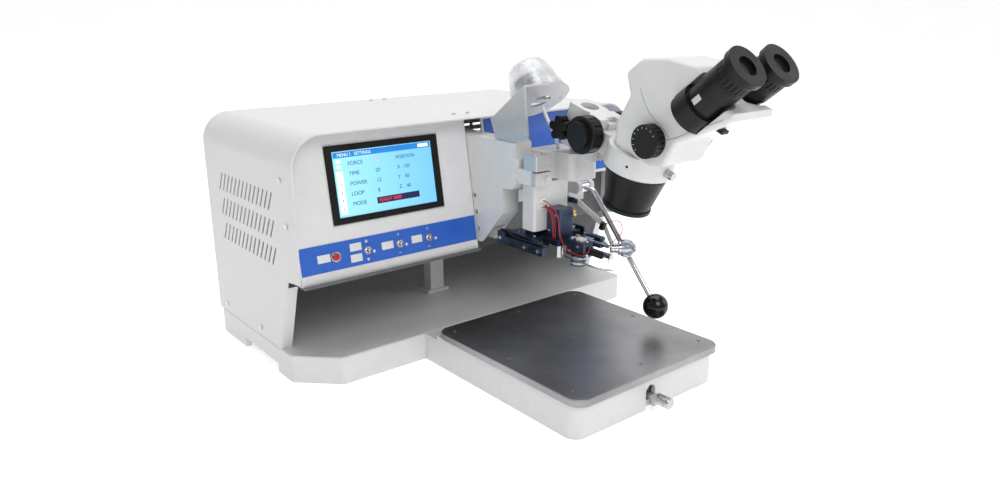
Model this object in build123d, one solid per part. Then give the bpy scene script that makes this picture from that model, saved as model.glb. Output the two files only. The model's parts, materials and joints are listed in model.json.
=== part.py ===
"""Bench-top gold wire bonder: cabinet with touch display, bond head on a forward arm,
stereo microscope on a tilted post, and a lifting steel work plate on a front tray.

Millimetres, +Z up. The origin is on the bench, below the centre of the machine's outline.
The user sits at -Y, and +X is to the user's right.
"""

import os
from math import cos, radians, sin, tan

from build123d import *

os.makedirs("parts", exist_ok=True)

# Running fits and gaps
SHAFT_CLEARANCE = 0.05
SLIDE_CLEARANCE = 0.05
BODY_GAP = 0.3

# Base casting
BASE_WIDTH = 607.0
BASE_FRONT_Y = 62.0
BASE_REAR_Y = 366.0
BASE_TOP_Z = 41.0
BASE_WALL = 8.0
BASE_CHAMFER = 52.0
BASE_CORNER_RADIUS = 12.0
BASE_EDGE_RADIUS = 2.5
BASE_LEG_SPAN = 95.0
BASE_RELIEF_HEIGHT = 15.0
PAD_DIAMETER = 24.0
PAD_THICKNESS = 4.0
PAD_PROUD = 1.5

# Front tray and lifting work plate
TRAY_CENTRE_X = 19.0
TRAY_WIDTH = 270.0
TRAY_FRONT_Y = -250.0
TRAY_RIM_Z = 46.9
TRAY_WALL = 6.0
TRAY_CORNER_RADIUS = 18.0
TRAY_DECK_DEPTH = 28.0
BED_THICKNESS = 6.0
BED_LEDGE = 12.0
PLATE_WIDTH = 275.0
PLATE_DEPTH = 288.0
PLATE_THICKNESS = 9.6
PLATE_CORNER_RADIUS = 20.0
PLATE_CENTRE_Y = -113.0
PLATE_SCREW_PITCH = 120.0
PLATE_SCREW_DIAMETER = 6.0
GUIDE_POST_DIAMETER = 12.0
GUIDE_POST_PITCH = 190.0
GUIDE_BUSH_DIAMETER = 26.0
GUIDE_BUSH_HEIGHT = 22.0
SCREW_Z = 21.0
SCREW_DIAMETER = 10.0
SCREW_COLLAR_DIAMETER = 16.0
KNOB_DIAMETER = 15.0
KNOB_LENGTH = 21.0
WEDGE_SLOPE = 0.15
WEDGE_LENGTH = 160.0
WEDGE_RAIL_WIDTH = 25.0
WEDGE_LOW_Z = 16.0
WEDGE_FRONT_Y = -180.0
NUT_BLOCK_WIDTH = 50.0
NUT_BLOCK_LENGTH = 25.0
FOOT_LENGTH = 90.0

# Sheet metal cabinet
SHEET = 2.0
PANEL_SKIN = 0.8
CABINET_TOP_Z = 347.0
CABINET_FRONT_Y = 67.0
COVER_BEND_RADIUS = 42.0
SEAM_X = -9.0
FLOOR_Z = 152.0
LEG_FRONT_Y = 142.0
VENT_ROWS = 3
VENT_COLUMNS = 14
VENT_PITCH_Y = 13.0
VENT_PITCH_Z = 38.0
VENT_WIDTH = 4.2
VENT_HEIGHT = 27.0
VENT_SLANT = 15.0
VENT_FIRST_Y = 140.0
VENT_TOP_Z = 253.5
FASCIA_LEAN = 9.8
FASCIA_FOOT_Y = 64.3
FASCIA_LEFT_END_X = -15.0
RIGHT_FASCIA_BOTTOM_Z = 232.0
BULKHEAD_Y = 118.0
COLUMN_WIDTH = 26.0
COLUMN_DEPTH = 20.0
COLUMN_X = 4.0
COLUMN_Y = 212.0
SCREW_HEAD_DIAMETER = 6.5

# Fascia controls, placed along X and up the leaning panel
BEZEL_CENTRE_X = -157.0
BEZEL_CENTRE_Z = 274.0
BEZEL_WIDTH = 178.0
BEZEL_HEIGHT = 104.0
SCREEN_WIDTH = 156.0
SCREEN_HEIGHT = 87.0
STRIP_LEFT_X = -299.7
STRIP_RIGHT_X = -16.5
STRIP_BOTTOM_Z = 165.4
STRIP_TOP_Z = 201.4
CONTROL_ROW_Z = 183.0
BUTTON_X = -249.7
BUTTON_DIAMETER = 9.6
BUTTON_RING_DIAMETER = 14.0
BUTTON_TRAVEL = 3.0
TOGGLE_XS = (-201.5, -150.5, -101.8)
TOGGLE_BUSH_DIAMETER = 12.0
TOGGLE_BALL_DIAMETER = 7.0
TOGGLE_LENGTH = 19.0
TOGGLE_PIN_DIAMETER = 1.6

# Head arm, head slide and bond head
ARM_LEFT_X = -14.0
ARM_WIDTH = 30.0
ARM_PLATE = 4.0
ARM_TOP_Z = 321.6
ARM_FRONT_Y = -18.0
ARM_NOSE_Y = -52.0
POST_SOCKET_BOTTOM_Z = 270.0
POST_SOCKET_TOP_Z = 308.0
RAIL_CENTRE_X = 32.5
RAIL_WIDTH = 17.0
RAIL_BOTTOM_Z = 203.0
RAIL_FRONT_Y = -20.0
RAIL_BACK_Y = -11.0
HEAD_COVER_LEFT_X = 0.0
HEAD_COVER_WIDTH = 65.0
HEAD_COVER_FRONT_Y = -44.0
HEAD_COVER_BACK_Y = 8.0
HEAD_COVER_BOTTOM_Z = 197.0
HEAD_COVER_TOP_Z = 266.0
HEAD_COVER_WALL = 2.5
PLATFORM_TOP_Z = 189.0
PLATFORM_THICKNESS = 8.0
PLATFORM_FRONT_Y = -78.0
TIP_X = 60.0
LAMP_ARM_X = 72.0
TIP_Y = -131.0
TIP_Z = 159.0
HORN_Z = 171.0
HORN_BODY_DIAMETER = 16.0
HORN_DIAMETER = 8.0
ARM_PIVOT_Y = -20.0
ARM_PIVOT_DIAMETER = 5.0

# Wire spool above the arm
SPOOL_LEAN = 36.4
SPOOL_SEAT_X = 47.0
SPOOL_SEAT_Y = 0.0
SPOOL_SEAT_Z = 373.5
SPOOL_PLATE_RADIUS = 44.0
SPOOL_PLATE_THICKNESS = 3.0
SPOOL_DIAMETER = 46.0
SPOOL_HEIGHT = 24.0
SPINDLE_DIAMETER = 10.0
DOME_DIAMETER = 84.0
DOME_HEIGHT = 56.0
DOME_WALL = 2.0

# Microscope on its tilted post
SCOPE_X = 60.0
SCOPE_TILT = 17.0
SCOPE_FOOT_Y = -158.0
SCOPE_FOOT_Z = 247.0
RING_LOW = 56.0
RING_HEIGHT = 28.0
RING_BORE = 76.0
CONE_FOOT_DIAMETER = 62.0
CONE_TOP_DIAMETER = 82.0
RING_OUTER = 90.0
POST_DIAMETER = 25.0
POST_BACK = 105.0
FOCUS_TOP = 97.5
SLEEVE_LOW = 39.0
PINION_ALONG = 74.5
PINION_BACK = 71.0
STAR_ALONG = 64.0
STAR_BACK = 117.0
HOUSING_WIDTH = 40.0
FOCUS_RANGE = 20.0
FOCUS_KNOB_DIAMETER = 50.0
ZOOM_KNOB_DIAMETER = 41.0
ZOOM_KNOB_Y = -228.0
ZOOM_KNOB_Z = 346.0
SCOPE_HALF_WIDTH = 38.0
SCOPE_LIP_Y = -330.0
HULL_BEND_RADIUS = 9.0
HULL_EDGE_RADIUS = 5.0
EYE_SPACING = 64.0
EYE_ANGLE = 51.0
EYE_END_Y = -346.0
EYE_END_Z = 439.0
EYE_DIAMETER = 52.0
EYE_TUBE_FOOT = 94.0
EYE_TUBE_DIAMETER = 43.0
EYE_FLUTES = 24

# Manual lever
LEVER_X = 125.0
LEVER_PIVOT_Y = -12.0
LEVER_PIVOT_Z = 240.0
LEVER_ELBOW_Y = -34.0
LEVER_ELBOW_Z = 238.0
LEVER_ROD_DIAMETER = 8.0
LEVER_BALL_DIAMETER = 36.0
LEVER_BALL_Y = -164.0
LEVER_BALL_Z = 92.0


def block(x0, x1, y0, y1, z0, z1):
    """Rectangular block between two corners."""
    return Pos((x0 + x1) / 2, (y0 + y1) / 2, (z0 + z1) / 2) * Box(x1 - x0, y1 - y0, z1 - z0)


def rod(start, end, diameter):
    """Round rod from one point to another."""
    start, end = Vector(*start), Vector(*end)
    run = end - start
    place = Plane(origin=start, z_dir=run)
    return extrude(place * Circle(diameter / 2), run.length)


def ring(start, end, outer, inner):
    """Tube from one point to another."""
    start, end = Vector(*start), Vector(*end)
    run = end - start
    place = Plane(origin=start, z_dir=run)
    return extrude(place * (Circle(outer / 2) - Circle(inner / 2)), run.length)


def side_plate(points, x0, x1):
    """Flat plate with an outline of (y, z) points, between two X values."""
    outline = Plane.YZ.offset(x0) * make_face(Polyline(*points, close=True))
    return extrude(outline, x1 - x0)


def save(node, *solids):
    """Write one node as a STEP file, named and labelled."""
    shape = solids[0] if len(solids) == 1 else Compound(children=list(solids))
    shape.label = node
    export_step(shape, f"parts/{node}.step")


def fascia_y(z):
    """Front face of the leaning fascia at a height."""
    return FASCIA_FOOT_Y + (z - FLOOR_Z) * tan(radians(FASCIA_LEAN))


def fascia_plane(x, z, out=0.0):
    """Plane on the leaning fascia: local x runs right, local z points to the user."""
    lean = radians(FASCIA_LEAN)
    origin = Vector(x, fascia_y(z), z) + Vector(0, -cos(lean), sin(lean)) * out
    return Plane(origin=origin, x_dir=(1, 0, 0), z_dir=(0, -cos(lean), sin(lean)))


def fascia_sheet(x0, x1, z0, z1, back, front):
    """Sheet parallel to the leaning fascia, between two depths measured to the user."""
    lean = cos(radians(FASCIA_LEAN))
    place = fascia_plane((x0 + x1) / 2, (z0 + z1) / 2, back)
    return extrude(place * Rectangle(x1 - x0, (z1 - z0) / lean), front - back)


def spool_plane(height=0.0):
    """Plane of the spool seat: local z is the spool axis, local x runs right."""
    lean = radians(SPOOL_LEAN)
    normal = Vector(0, sin(lean), cos(lean))
    origin = Vector(SPOOL_SEAT_X, SPOOL_SEAT_Y, SPOOL_SEAT_Z) + normal * height
    return Plane(origin=origin, x_dir=(1, 0, 0), z_dir=normal)


def scope_plane(along=0.0, back=0.0):
    """Plane across the microscope axis: local z is the axis, local y points away from the user."""
    tilt = radians(SCOPE_TILT)
    axis = Vector(0, -sin(tilt), cos(tilt))
    rearward = Vector(0, cos(tilt), sin(tilt))
    origin = Vector(SCOPE_X, SCOPE_FOOT_Y, SCOPE_FOOT_Z) + axis * along + rearward * back
    return Plane(origin=origin, x_dir=(1, 0, 0), z_dir=axis)


def eye_plane(x, inward=0.0):
    """Plane across an eye tube: local z points out to the eye."""
    angle = radians(EYE_ANGLE)
    axis = Vector(0, -sin(angle), cos(angle))
    origin = Vector(x, EYE_END_Y, EYE_END_Z) - axis * inward
    return Plane(origin=origin, x_dir=(1, 0, 0), z_dir=axis)


# Base casting with its legs, ribs, bottom plate and pads

HALF_WIDTH = BASE_WIDTH / 2
TRAY_LEFT_X = TRAY_CENTRE_X - TRAY_WIDTH / 2
TRAY_RIGHT_X = TRAY_CENTRE_X + TRAY_WIDTH / 2
BASE_OUTLINE = [
    (-HALF_WIDTH, BASE_REAR_Y),
    (HALF_WIDTH, BASE_REAR_Y),
    (HALF_WIDTH, BASE_FRONT_Y),
    (-HALF_WIDTH + BASE_CHAMFER, BASE_FRONT_Y),
    (-HALF_WIDTH, BASE_FRONT_Y + BASE_CHAMFER),
]
PAD_INSET = 26.0
PAD_PLACES = [
    (-HALF_WIDTH + PAD_INSET, BASE_REAR_Y - PAD_INSET),
    (HALF_WIDTH - PAD_INSET, BASE_REAR_Y - PAD_INSET),
    (HALF_WIDTH - PAD_INSET, BASE_FRONT_Y + PAD_INSET),
    (-HALF_WIDTH + BASE_CHAMFER + PAD_INSET, BASE_FRONT_Y + PAD_INSET),
]
TRAY_PAD_INSET = 20.0
TRAY_PAD_PLACES = [
    (TRAY_LEFT_X + TRAY_PAD_INSET, TRAY_FRONT_Y + TRAY_PAD_INSET),
    (TRAY_RIGHT_X - TRAY_PAD_INSET, TRAY_FRONT_Y + TRAY_PAD_INSET),
]
PAD_SEAT_Z = PAD_PROUD
RIB_BOTTOM_Z = BASE_RELIEF_HEIGHT + 2.0


def outline_prism(points, z0, z1, radius):
    """Upright prism of an outline, with its upright edges rounded."""
    solid = extrude(Pos(0, 0, z0) * make_face(Polyline(*points, close=True)), z1 - z0)
    return fillet(solid.edges().filter_by(Axis.Z), radius)


def make_base_casting():
    body = outline_prism(BASE_OUTLINE, PAD_SEAT_Z, BASE_TOP_Z, BASE_CORNER_RADIUS)
    body = fillet(body.faces().sort_by(Axis.Z)[-1].edges(), BASE_EDGE_RADIUS)
    inner = offset(make_face(Polyline(*BASE_OUTLINE, close=True)), -BASE_WALL)
    cavity = extrude(Pos(0, 0, PAD_SEAT_Z - 1) * inner, BASE_TOP_Z - BASE_WALL - PAD_SEAT_Z + 1)
    body -= cavity
    for x in (-150.0, 0.0, 150.0):
        body += block(x - 4, x + 4, BASE_FRONT_Y + 4, BASE_REAR_Y - 4, RIB_BOTTOM_Z, BASE_TOP_Z - 4)
    for x, y in PAD_PLACES:
        body += Pos(x, y, PAD_SEAT_Z) * extrude(Circle(PAD_INSET - 6), BASE_TOP_Z - 4 - PAD_SEAT_Z)
        body -= Pos(x, y, 0) * extrude(Circle(PAD_DIAMETER / 2), PAD_THICKNESS)
    for x in (-HALF_WIDTH, HALF_WIDTH - BASE_WALL):
        y0 = BASE_FRONT_Y + BASE_LEG_SPAN
        y1 = BASE_REAR_Y - BASE_LEG_SPAN
        body -= block(x - 1, x + BASE_WALL + 1, y0, y1, 0, BASE_RELIEF_HEIGHT)
    return body


def make_foot_pads():
    pads = []
    for x, y in PAD_PLACES + TRAY_PAD_PLACES:
        pads.append(Pos(x, y, 0) * extrude(Circle(PAD_DIAMETER / 2 - 0.1), PAD_THICKNESS))
    return pads


save("base_casting", make_base_casting())
save("foot_pads", *make_foot_pads())


# Front tray, lifting gear and work plate

TRAY_REAR_Y = BASE_FRONT_Y - 0.1
DECK_FRONT_Y = TRAY_REAR_Y - TRAY_DECK_DEPTH
BED_BOTTOM_Z = PAD_THICKNESS + 1.0
BED_TOP_Z = BED_BOTTOM_Z + BED_THICKNESS
BED_REAR_Y = DECK_FRONT_Y - 8.0
PLATE_BOTTOM_Z = TRAY_RIM_Z + BODY_GAP
PLATE_TOP_Z = PLATE_BOTTOM_Z + PLATE_THICKNESS


def make_stage_tray():
    depth = TRAY_REAR_Y - TRAY_FRONT_Y
    centre_y = (TRAY_REAR_Y + TRAY_FRONT_Y) / 2
    body = Pos(TRAY_CENTRE_X, centre_y, PAD_SEAT_Z) * extrude(
        Rectangle(TRAY_WIDTH, depth), TRAY_RIM_Z - PAD_SEAT_Z
    )
    front_edges = body.edges().filter_by(Axis.Z).group_by(Axis.Y)[0]
    body = fillet(front_edges, TRAY_CORNER_RADIUS)
    x0, x1 = TRAY_LEFT_X - 1, TRAY_RIGHT_X + 1
    body -= block(x0, x1, DECK_FRONT_Y, TRAY_REAR_Y + 1, BASE_TOP_Z, TRAY_RIM_Z + 1)
    pocket = Pos(TRAY_CENTRE_X, (TRAY_FRONT_Y + DECK_FRONT_Y) / 2, PAD_SEAT_Z - 1) * extrude(
        RectangleRounded(TRAY_WIDTH - 2 * TRAY_WALL, DECK_FRONT_Y - TRAY_FRONT_Y - 2 * TRAY_WALL, 12.0),
        TRAY_RIM_Z + 2,
    )
    body -= pocket
    body -= block(TRAY_LEFT_X + 8, TRAY_RIGHT_X - 8, DECK_FRONT_Y + 4, TRAY_REAR_Y - 8, 0, BASE_TOP_Z - 6)
    ledge = Pos(TRAY_CENTRE_X, (TRAY_FRONT_Y + DECK_FRONT_Y) / 2, PAD_SEAT_Z) * extrude(
        Rectangle(TRAY_WIDTH - 2 * TRAY_WALL + 2, DECK_FRONT_Y - TRAY_FRONT_Y - 2 * TRAY_WALL + 2)
        - Rectangle(
            TRAY_WIDTH - 2 * TRAY_WALL - 2 * BED_LEDGE,
            DECK_FRONT_Y - TRAY_FRONT_Y - 2 * TRAY_WALL - 2 * BED_LEDGE,
        ),
        BED_BOTTOM_Z - PAD_SEAT_Z,
    )
    body += ledge
    for x, y in TRAY_PAD_PLACES:
        body += Pos(x, y, PAD_SEAT_Z) * extrude(Circle(PAD_DIAMETER / 2 + 3), BED_BOTTOM_Z - PAD_SEAT_Z)
        body -= Pos(x, y, 0) * extrude(Circle(PAD_DIAMETER / 2), PAD_THICKNESS)
    arch = Pos(TRAY_CENTRE_X, SCREW_Z + 6) * Circle(8.5)
    arch += Pos(TRAY_CENTRE_X, SCREW_Z / 2 + 3) * Rectangle(17, SCREW_Z + 6)
    slot = extrude(Plane.XZ.offset(-TRAY_FRONT_Y - TRAY_WALL - 1) * arch, TRAY_WALL + 2)
    body -= slot
    return body


def make_stage_bed():
    x0, x1 = TRAY_LEFT_X + TRAY_WALL + BODY_GAP, TRAY_RIGHT_X - TRAY_WALL - BODY_GAP
    y0, y1 = TRAY_FRONT_Y + TRAY_WALL + BODY_GAP, DECK_FRONT_Y - TRAY_WALL - BODY_GAP
    bed = block(x0, x1, y0, y1, BED_BOTTOM_Z, BED_TOP_Z)
    bed = fillet(bed.edges().filter_by(Axis.Z), 12.0)
    for sx in (-1, 1):
        for sy in (-1, 1):
            x = TRAY_CENTRE_X + sx * GUIDE_POST_PITCH / 2
            y = PLATE_CENTRE_Y + sy * GUIDE_POST_PITCH / 2
            bed += Pos(x, y, BED_TOP_Z - 1) * extrude(Circle(GUIDE_BUSH_DIAMETER / 2), GUIDE_BUSH_HEIGHT)
            bed -= Pos(x, y, 0) * extrude(Circle(GUIDE_POST_DIAMETER / 2 + SHAFT_CLEARANCE), TRAY_RIM_Z)
    front, rear = SCREW_FRONT_BEARING, SCREW_REAR_BEARING
    for y_start, y_end, bore in ((*front, SCREW_DIAMETER), (*rear, SCREW_DIAMETER - 2)):
        bed += block(TRAY_CENTRE_X - 13, TRAY_CENTRE_X + 13, y_start, y_end, BED_TOP_Z - 1, SCREW_Z + 12)
        start, end = (TRAY_CENTRE_X, y_start - 1, SCREW_Z), (TRAY_CENTRE_X, y_end + 1, SCREW_Z)
        bed -= rod(start, end, bore + 2 * SHAFT_CLEARANCE)
    return bed


SCREW_FRONT_BEARING = (TRAY_FRONT_Y + TRAY_WALL + 4, TRAY_FRONT_Y + TRAY_WALL + 14)
SCREW_REAR_BEARING = (-70.0, -60.0)
SCREW_NECK_Y = TRAY_FRONT_Y - 12.0
NUT_BLOCK_FRONT_Y = WEDGE_FRONT_Y + 30.0


def make_lift_screw():
    x, z = TRAY_CENTRE_X, SCREW_Z
    knob_end = SCREW_NECK_Y - KNOB_LENGTH
    knob = rod((x, knob_end, z), (x, SCREW_NECK_Y, z), KNOB_DIAMETER)
    knob = chamfer(knob.edges().sort_by(Axis.Y)[0], 1.0)
    groove = ring((x, knob_end + 6, z), (x, knob_end + 8, z), KNOB_DIAMETER + 2, KNOB_DIAMETER - 2)
    shaft = rod((x, SCREW_NECK_Y, z), (x, SCREW_REAR_BEARING[0] - 0.3, z), SCREW_DIAMETER)
    journal = rod((x, SCREW_REAR_BEARING[0] - 0.3, z), (x, SCREW_REAR_BEARING[1] + 3, z), SCREW_DIAMETER - 2)
    collar_start = SCREW_FRONT_BEARING[1] + SLIDE_CLEARANCE
    collar = rod((x, collar_start, z), (x, collar_start + 5, z), SCREW_COLLAR_DIAMETER)
    return knob - groove + shaft + journal + collar


def wedge_top(y):
    """Height of the wedge's sloping top at a place along Y, at rest."""
    return WEDGE_LOW_Z + (y - WEDGE_FRONT_Y) * WEDGE_SLOPE


def make_lift_wedge():
    rear_y = WEDGE_FRONT_Y + WEDGE_LENGTH
    low = BED_TOP_Z + SLIDE_CLEARANCE
    profile = [
        (WEDGE_FRONT_Y, low),
        (rear_y, low),
        (rear_y, wedge_top(rear_y)),
        (WEDGE_FRONT_Y, wedge_top(WEDGE_FRONT_Y)),
    ]
    half = NUT_BLOCK_WIDTH / 2
    left = side_plate(profile, TRAY_CENTRE_X - half - WEDGE_RAIL_WIDTH, TRAY_CENTRE_X - half)
    right = side_plate(profile, TRAY_CENTRE_X + half, TRAY_CENTRE_X + half + WEDGE_RAIL_WIDTH)
    y0, y1 = NUT_BLOCK_FRONT_Y, NUT_BLOCK_FRONT_Y + NUT_BLOCK_LENGTH
    bridge_low = block(TRAY_CENTRE_X - half - 1, TRAY_CENTRE_X + half + 1, y0, y1, low, 20.0)
    nut = block(TRAY_CENTRE_X - 12, TRAY_CENTRE_X + 12, y0, y1, low, SCREW_Z + 11)
    wedge = left + right + bridge_low + nut
    start, end = (TRAY_CENTRE_X, y0 - 1, SCREW_Z), (TRAY_CENTRE_X, y1 + 1, SCREW_Z)
    wedge -= rod(start, end, SCREW_DIAMETER + 2 * SHAFT_CLEARANCE)
    return wedge


def make_lift_feet():
    y0 = WEDGE_FRONT_Y + 40.0
    y1 = y0 + FOOT_LENGTH
    profile = [
        (y0, wedge_top(y0) + SLIDE_CLEARANCE),
        (y1, wedge_top(y1) + SLIDE_CLEARANCE),
        (y1, PLATE_BOTTOM_Z),
        (y0, PLATE_BOTTOM_Z),
    ]
    half = NUT_BLOCK_WIDTH / 2
    inset = 2.0
    left = side_plate(profile, TRAY_CENTRE_X - half - WEDGE_RAIL_WIDTH + inset, TRAY_CENTRE_X - half - inset)
    right_edge = TRAY_CENTRE_X + half
    right = side_plate(profile, right_edge + inset, right_edge + WEDGE_RAIL_WIDTH - inset)
    return left, right


def make_guide_posts():
    posts = []
    for sx in (-1, 1):
        for sy in (-1, 1):
            x = TRAY_CENTRE_X + sx * GUIDE_POST_PITCH / 2
            y = PLATE_CENTRE_Y + sy * GUIDE_POST_PITCH / 2
            posts.append(rod((x, y, BED_BOTTOM_Z + 1), (x, y, PLATE_BOTTOM_Z), GUIDE_POST_DIAMETER))
    return posts


def plate_screw_places():
    places = []
    for column in (-1, 0, 1):
        for row in (-1, 0, 1):
            x = TRAY_CENTRE_X + column * PLATE_SCREW_PITCH
            places.append((x, PLATE_CENTRE_Y + 2 + row * PLATE_SCREW_PITCH))
    return places


def make_work_plate():
    plate = Pos(TRAY_CENTRE_X, PLATE_CENTRE_Y, PLATE_BOTTOM_Z) * extrude(
        RectangleRounded(PLATE_WIDTH, PLATE_DEPTH, PLATE_CORNER_RADIUS), PLATE_THICKNESS
    )
    plate = chamfer(plate.faces().sort_by(Axis.Z)[-1].edges(), 0.8)
    for x, y in plate_screw_places():
        plate -= Pos(x, y, PLATE_TOP_Z - 3.5) * extrude(Circle(PLATE_SCREW_DIAMETER / 2 + 0.2), 5)
    return plate


def make_plate_screws():
    screws = []
    for x, y in plate_screw_places():
        head = Pos(x, y, PLATE_TOP_Z - 3.5) * extrude(Circle(PLATE_SCREW_DIAMETER / 2), 3.0)
        head -= Pos(x, y, PLATE_TOP_Z - 2.5) * extrude(RegularPolygon(1.6, 6), 3.0)
        screws.append(head)
    return screws


save("stage_tray", make_stage_tray())
save("stage_bed", make_stage_bed())
save("lift_screw", make_lift_screw())
save("lift_wedge", make_lift_wedge())
save("lift_feet", *make_lift_feet(), *make_guide_posts())
save("work_plate", make_work_plate())
save("plate_screws", *make_plate_screws())


# Cabinet covers, floor, fascias, column and screws

SIDE_OUTLINE = [
    (BASE_REAR_Y, BASE_TOP_Z),
    (BASE_REAR_Y, CABINET_TOP_Z),
    (CABINET_FRONT_Y, CABINET_TOP_Z),
    (CABINET_FRONT_Y, FLOOR_Z + 3),
    (CABINET_FRONT_Y + 37, FLOOR_Z - 2),
    (CABINET_FRONT_Y + 41, FLOOR_Z - 12),
    (LEG_FRONT_Y, BASE_TOP_Z),
]


def cover_section(side):
    """Bent sheet section in XZ: outer skin minus inner skin, on one side of the seam."""
    edge = side * HALF_WIDTH
    seam = SEAM_X + side * 0.1
    outer = [(seam, CABINET_TOP_Z), (edge, CABINET_TOP_Z), (edge, BASE_TOP_Z)]
    skin = FilletPolyline(*[(x, 0, z) for x, z in outer], radius=COVER_BEND_RADIUS)
    inner = [
        (seam, CABINET_TOP_Z - SHEET),
        (edge - side * SHEET, CABINET_TOP_Z - SHEET),
        (edge - side * SHEET, BASE_TOP_Z),
    ]
    lining = FilletPolyline(*[(x, 0, z) for x, z in inner], radius=COVER_BEND_RADIUS - SHEET)
    ends = [
        Line((seam, 0, CABINET_TOP_Z), (seam, 0, CABINET_TOP_Z - SHEET)),
        Line((edge, 0, BASE_TOP_Z), (edge - side * SHEET, 0, BASE_TOP_Z)),
    ]
    return make_face([*skin.edges(), *lining.edges(), ends[0].edge(), ends[1].edge()])


def vent_slots(side):
    """All slanted vent slots of one side, as one group of cutters."""
    cutters = []
    x = side * (HALF_WIDTH - SHEET / 2)
    for row in range(VENT_ROWS):
        for column in range(VENT_COLUMNS):
            y = VENT_FIRST_Y + column * VENT_PITCH_Y
            z = VENT_TOP_Z - row * VENT_PITCH_Z
            length = (VENT_HEIGHT**2 + VENT_SLANT**2) ** 0.5
            slot = extrude(SlotOverall(length, VENT_WIDTH), SHEET * 2, both=True)
            lean = 90 + 29.0
            place = Pos(x, y, z) * Rot(0, 90, 0) * Rot(0, 0, 90) * Rot(0, 0, lean)
            cutters.append(place * slot)
    return cutters


def make_cover(side):
    sheet = extrude(cover_section(side), BASE_REAR_Y - CABINET_FRONT_Y, dir=(0, 1, 0))
    sheet = Pos(0, CABINET_FRONT_Y, 0) * sheet
    x_in = side * (HALF_WIDTH - COVER_BEND_RADIUS)
    x_out = side * (HALF_WIDTH + 5)
    keep = side_plate(SIDE_OUTLINE, min(x_in, x_out), max(x_in, x_out))
    drop = block(
        min(x_in, x_out),
        max(x_in, x_out),
        CABINET_FRONT_Y - 1,
        BASE_REAR_Y + 1,
        BASE_TOP_Z - 1,
        CABINET_TOP_Z + 1,
    )
    drop -= keep
    sheet -= drop
    sheet -= vent_slots(side)
    inner = side * (HALF_WIDTH - SHEET)
    flange_in = side * (HALF_WIDTH - SHEET - 14)
    leg = [
        (LEG_FRONT_Y, BASE_TOP_Z),
        (CABINET_FRONT_Y + 41, FLOOR_Z - 12),
        (CABINET_FRONT_Y + 43, FLOOR_Z - 12),
        (LEG_FRONT_Y + 2, BASE_TOP_Z),
    ]
    sheet += side_plate(leg, min(inner, flange_in), max(inner, flange_in))
    for y in (112.0, 347.0):
        sheet -= Pos(SEAM_X + side * 13, y, CABINET_TOP_Z - 5) * extrude(Circle(1.6), 8)
    for y, z in SIDE_SCREWS:
        sheet -= rod((side * (HALF_WIDTH - 8), y, z), (side * (HALF_WIDTH + 2), y, z), 3.2)
    return sheet


SIDE_SCREWS = [(102.7, 287.0), (92.5, 228.0), (331.0, 55.0), (205.6, 54.0)]


def make_cover_screws():
    screws = []
    for side in (-1, 1):
        for y, z in SIDE_SCREWS:
            face = side * HALF_WIDTH
            head = rod((face, y, z), (face + side * 2.0, y, z), SCREW_HEAD_DIAMETER)
            shank = rod((face - side * 6, y, z), (face, y, z), 3.0)
            screws.append(head + shank)
        for y in (112.0, 347.0):
            x = SEAM_X + side * 13
            head = rod((x, y, CABINET_TOP_Z), (x, y, CABINET_TOP_Z + 2.0), SCREW_HEAD_DIAMETER)
            shank = rod((x, y, CABINET_TOP_Z - 4.5), (x, y, CABINET_TOP_Z), 3.0)
            screws.append(head + shank)
    return screws


def make_cabinet_floor():
    inner = HALF_WIDTH - SHEET - BODY_GAP
    outline = [
        (-inner, CABINET_FRONT_Y - 10),
        (FASCIA_LEFT_END_X, CABINET_FRONT_Y - 10),
        (FASCIA_LEFT_END_X, BULKHEAD_Y - SHEET),
        (inner, BULKHEAD_Y - SHEET),
        (inner, BASE_REAR_Y - SHEET - BODY_GAP),
        (-inner, BASE_REAR_Y - SHEET - BODY_GAP),
    ]
    floor = extrude(Pos(0, 0, FLOOR_Z - SHEET) * make_face(Polyline(*outline, close=True)), SHEET)
    y0, y1 = CABINET_FRONT_Y - 10, CABINET_FRONT_Y - 8
    lip = block(-inner, FASCIA_LEFT_END_X, y0, y1, FLOOR_Z - SHEET, FLOOR_Z + 2)
    top = CABINET_TOP_Z - COVER_BEND_RADIUS - 2
    upturn = block(RIGHT_FASCIA_X0, inner, BULKHEAD_Y - SHEET, BULKHEAD_Y, FLOOR_Z - SHEET, top)
    return floor + lip + upturn


def corner_trim(side, gap, y0, y1):
    """What lies outside the cover's rounded upper corner on one side, from y0 to y1."""
    centre_x = side * (HALF_WIDTH - COVER_BEND_RADIUS)
    centre_z = CABINET_TOP_Z - COVER_BEND_RADIUS
    x0, x1 = sorted((centre_x, side * (HALF_WIDTH + 5)))
    radius = COVER_BEND_RADIUS - SHEET - gap
    outside = block(x0, x1, y0, y1, centre_z, CABINET_TOP_Z + 5)
    return outside - rod((centre_x, y0 - 1, centre_z), (centre_x, y1 + 1, centre_z), 2 * radius)


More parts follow.
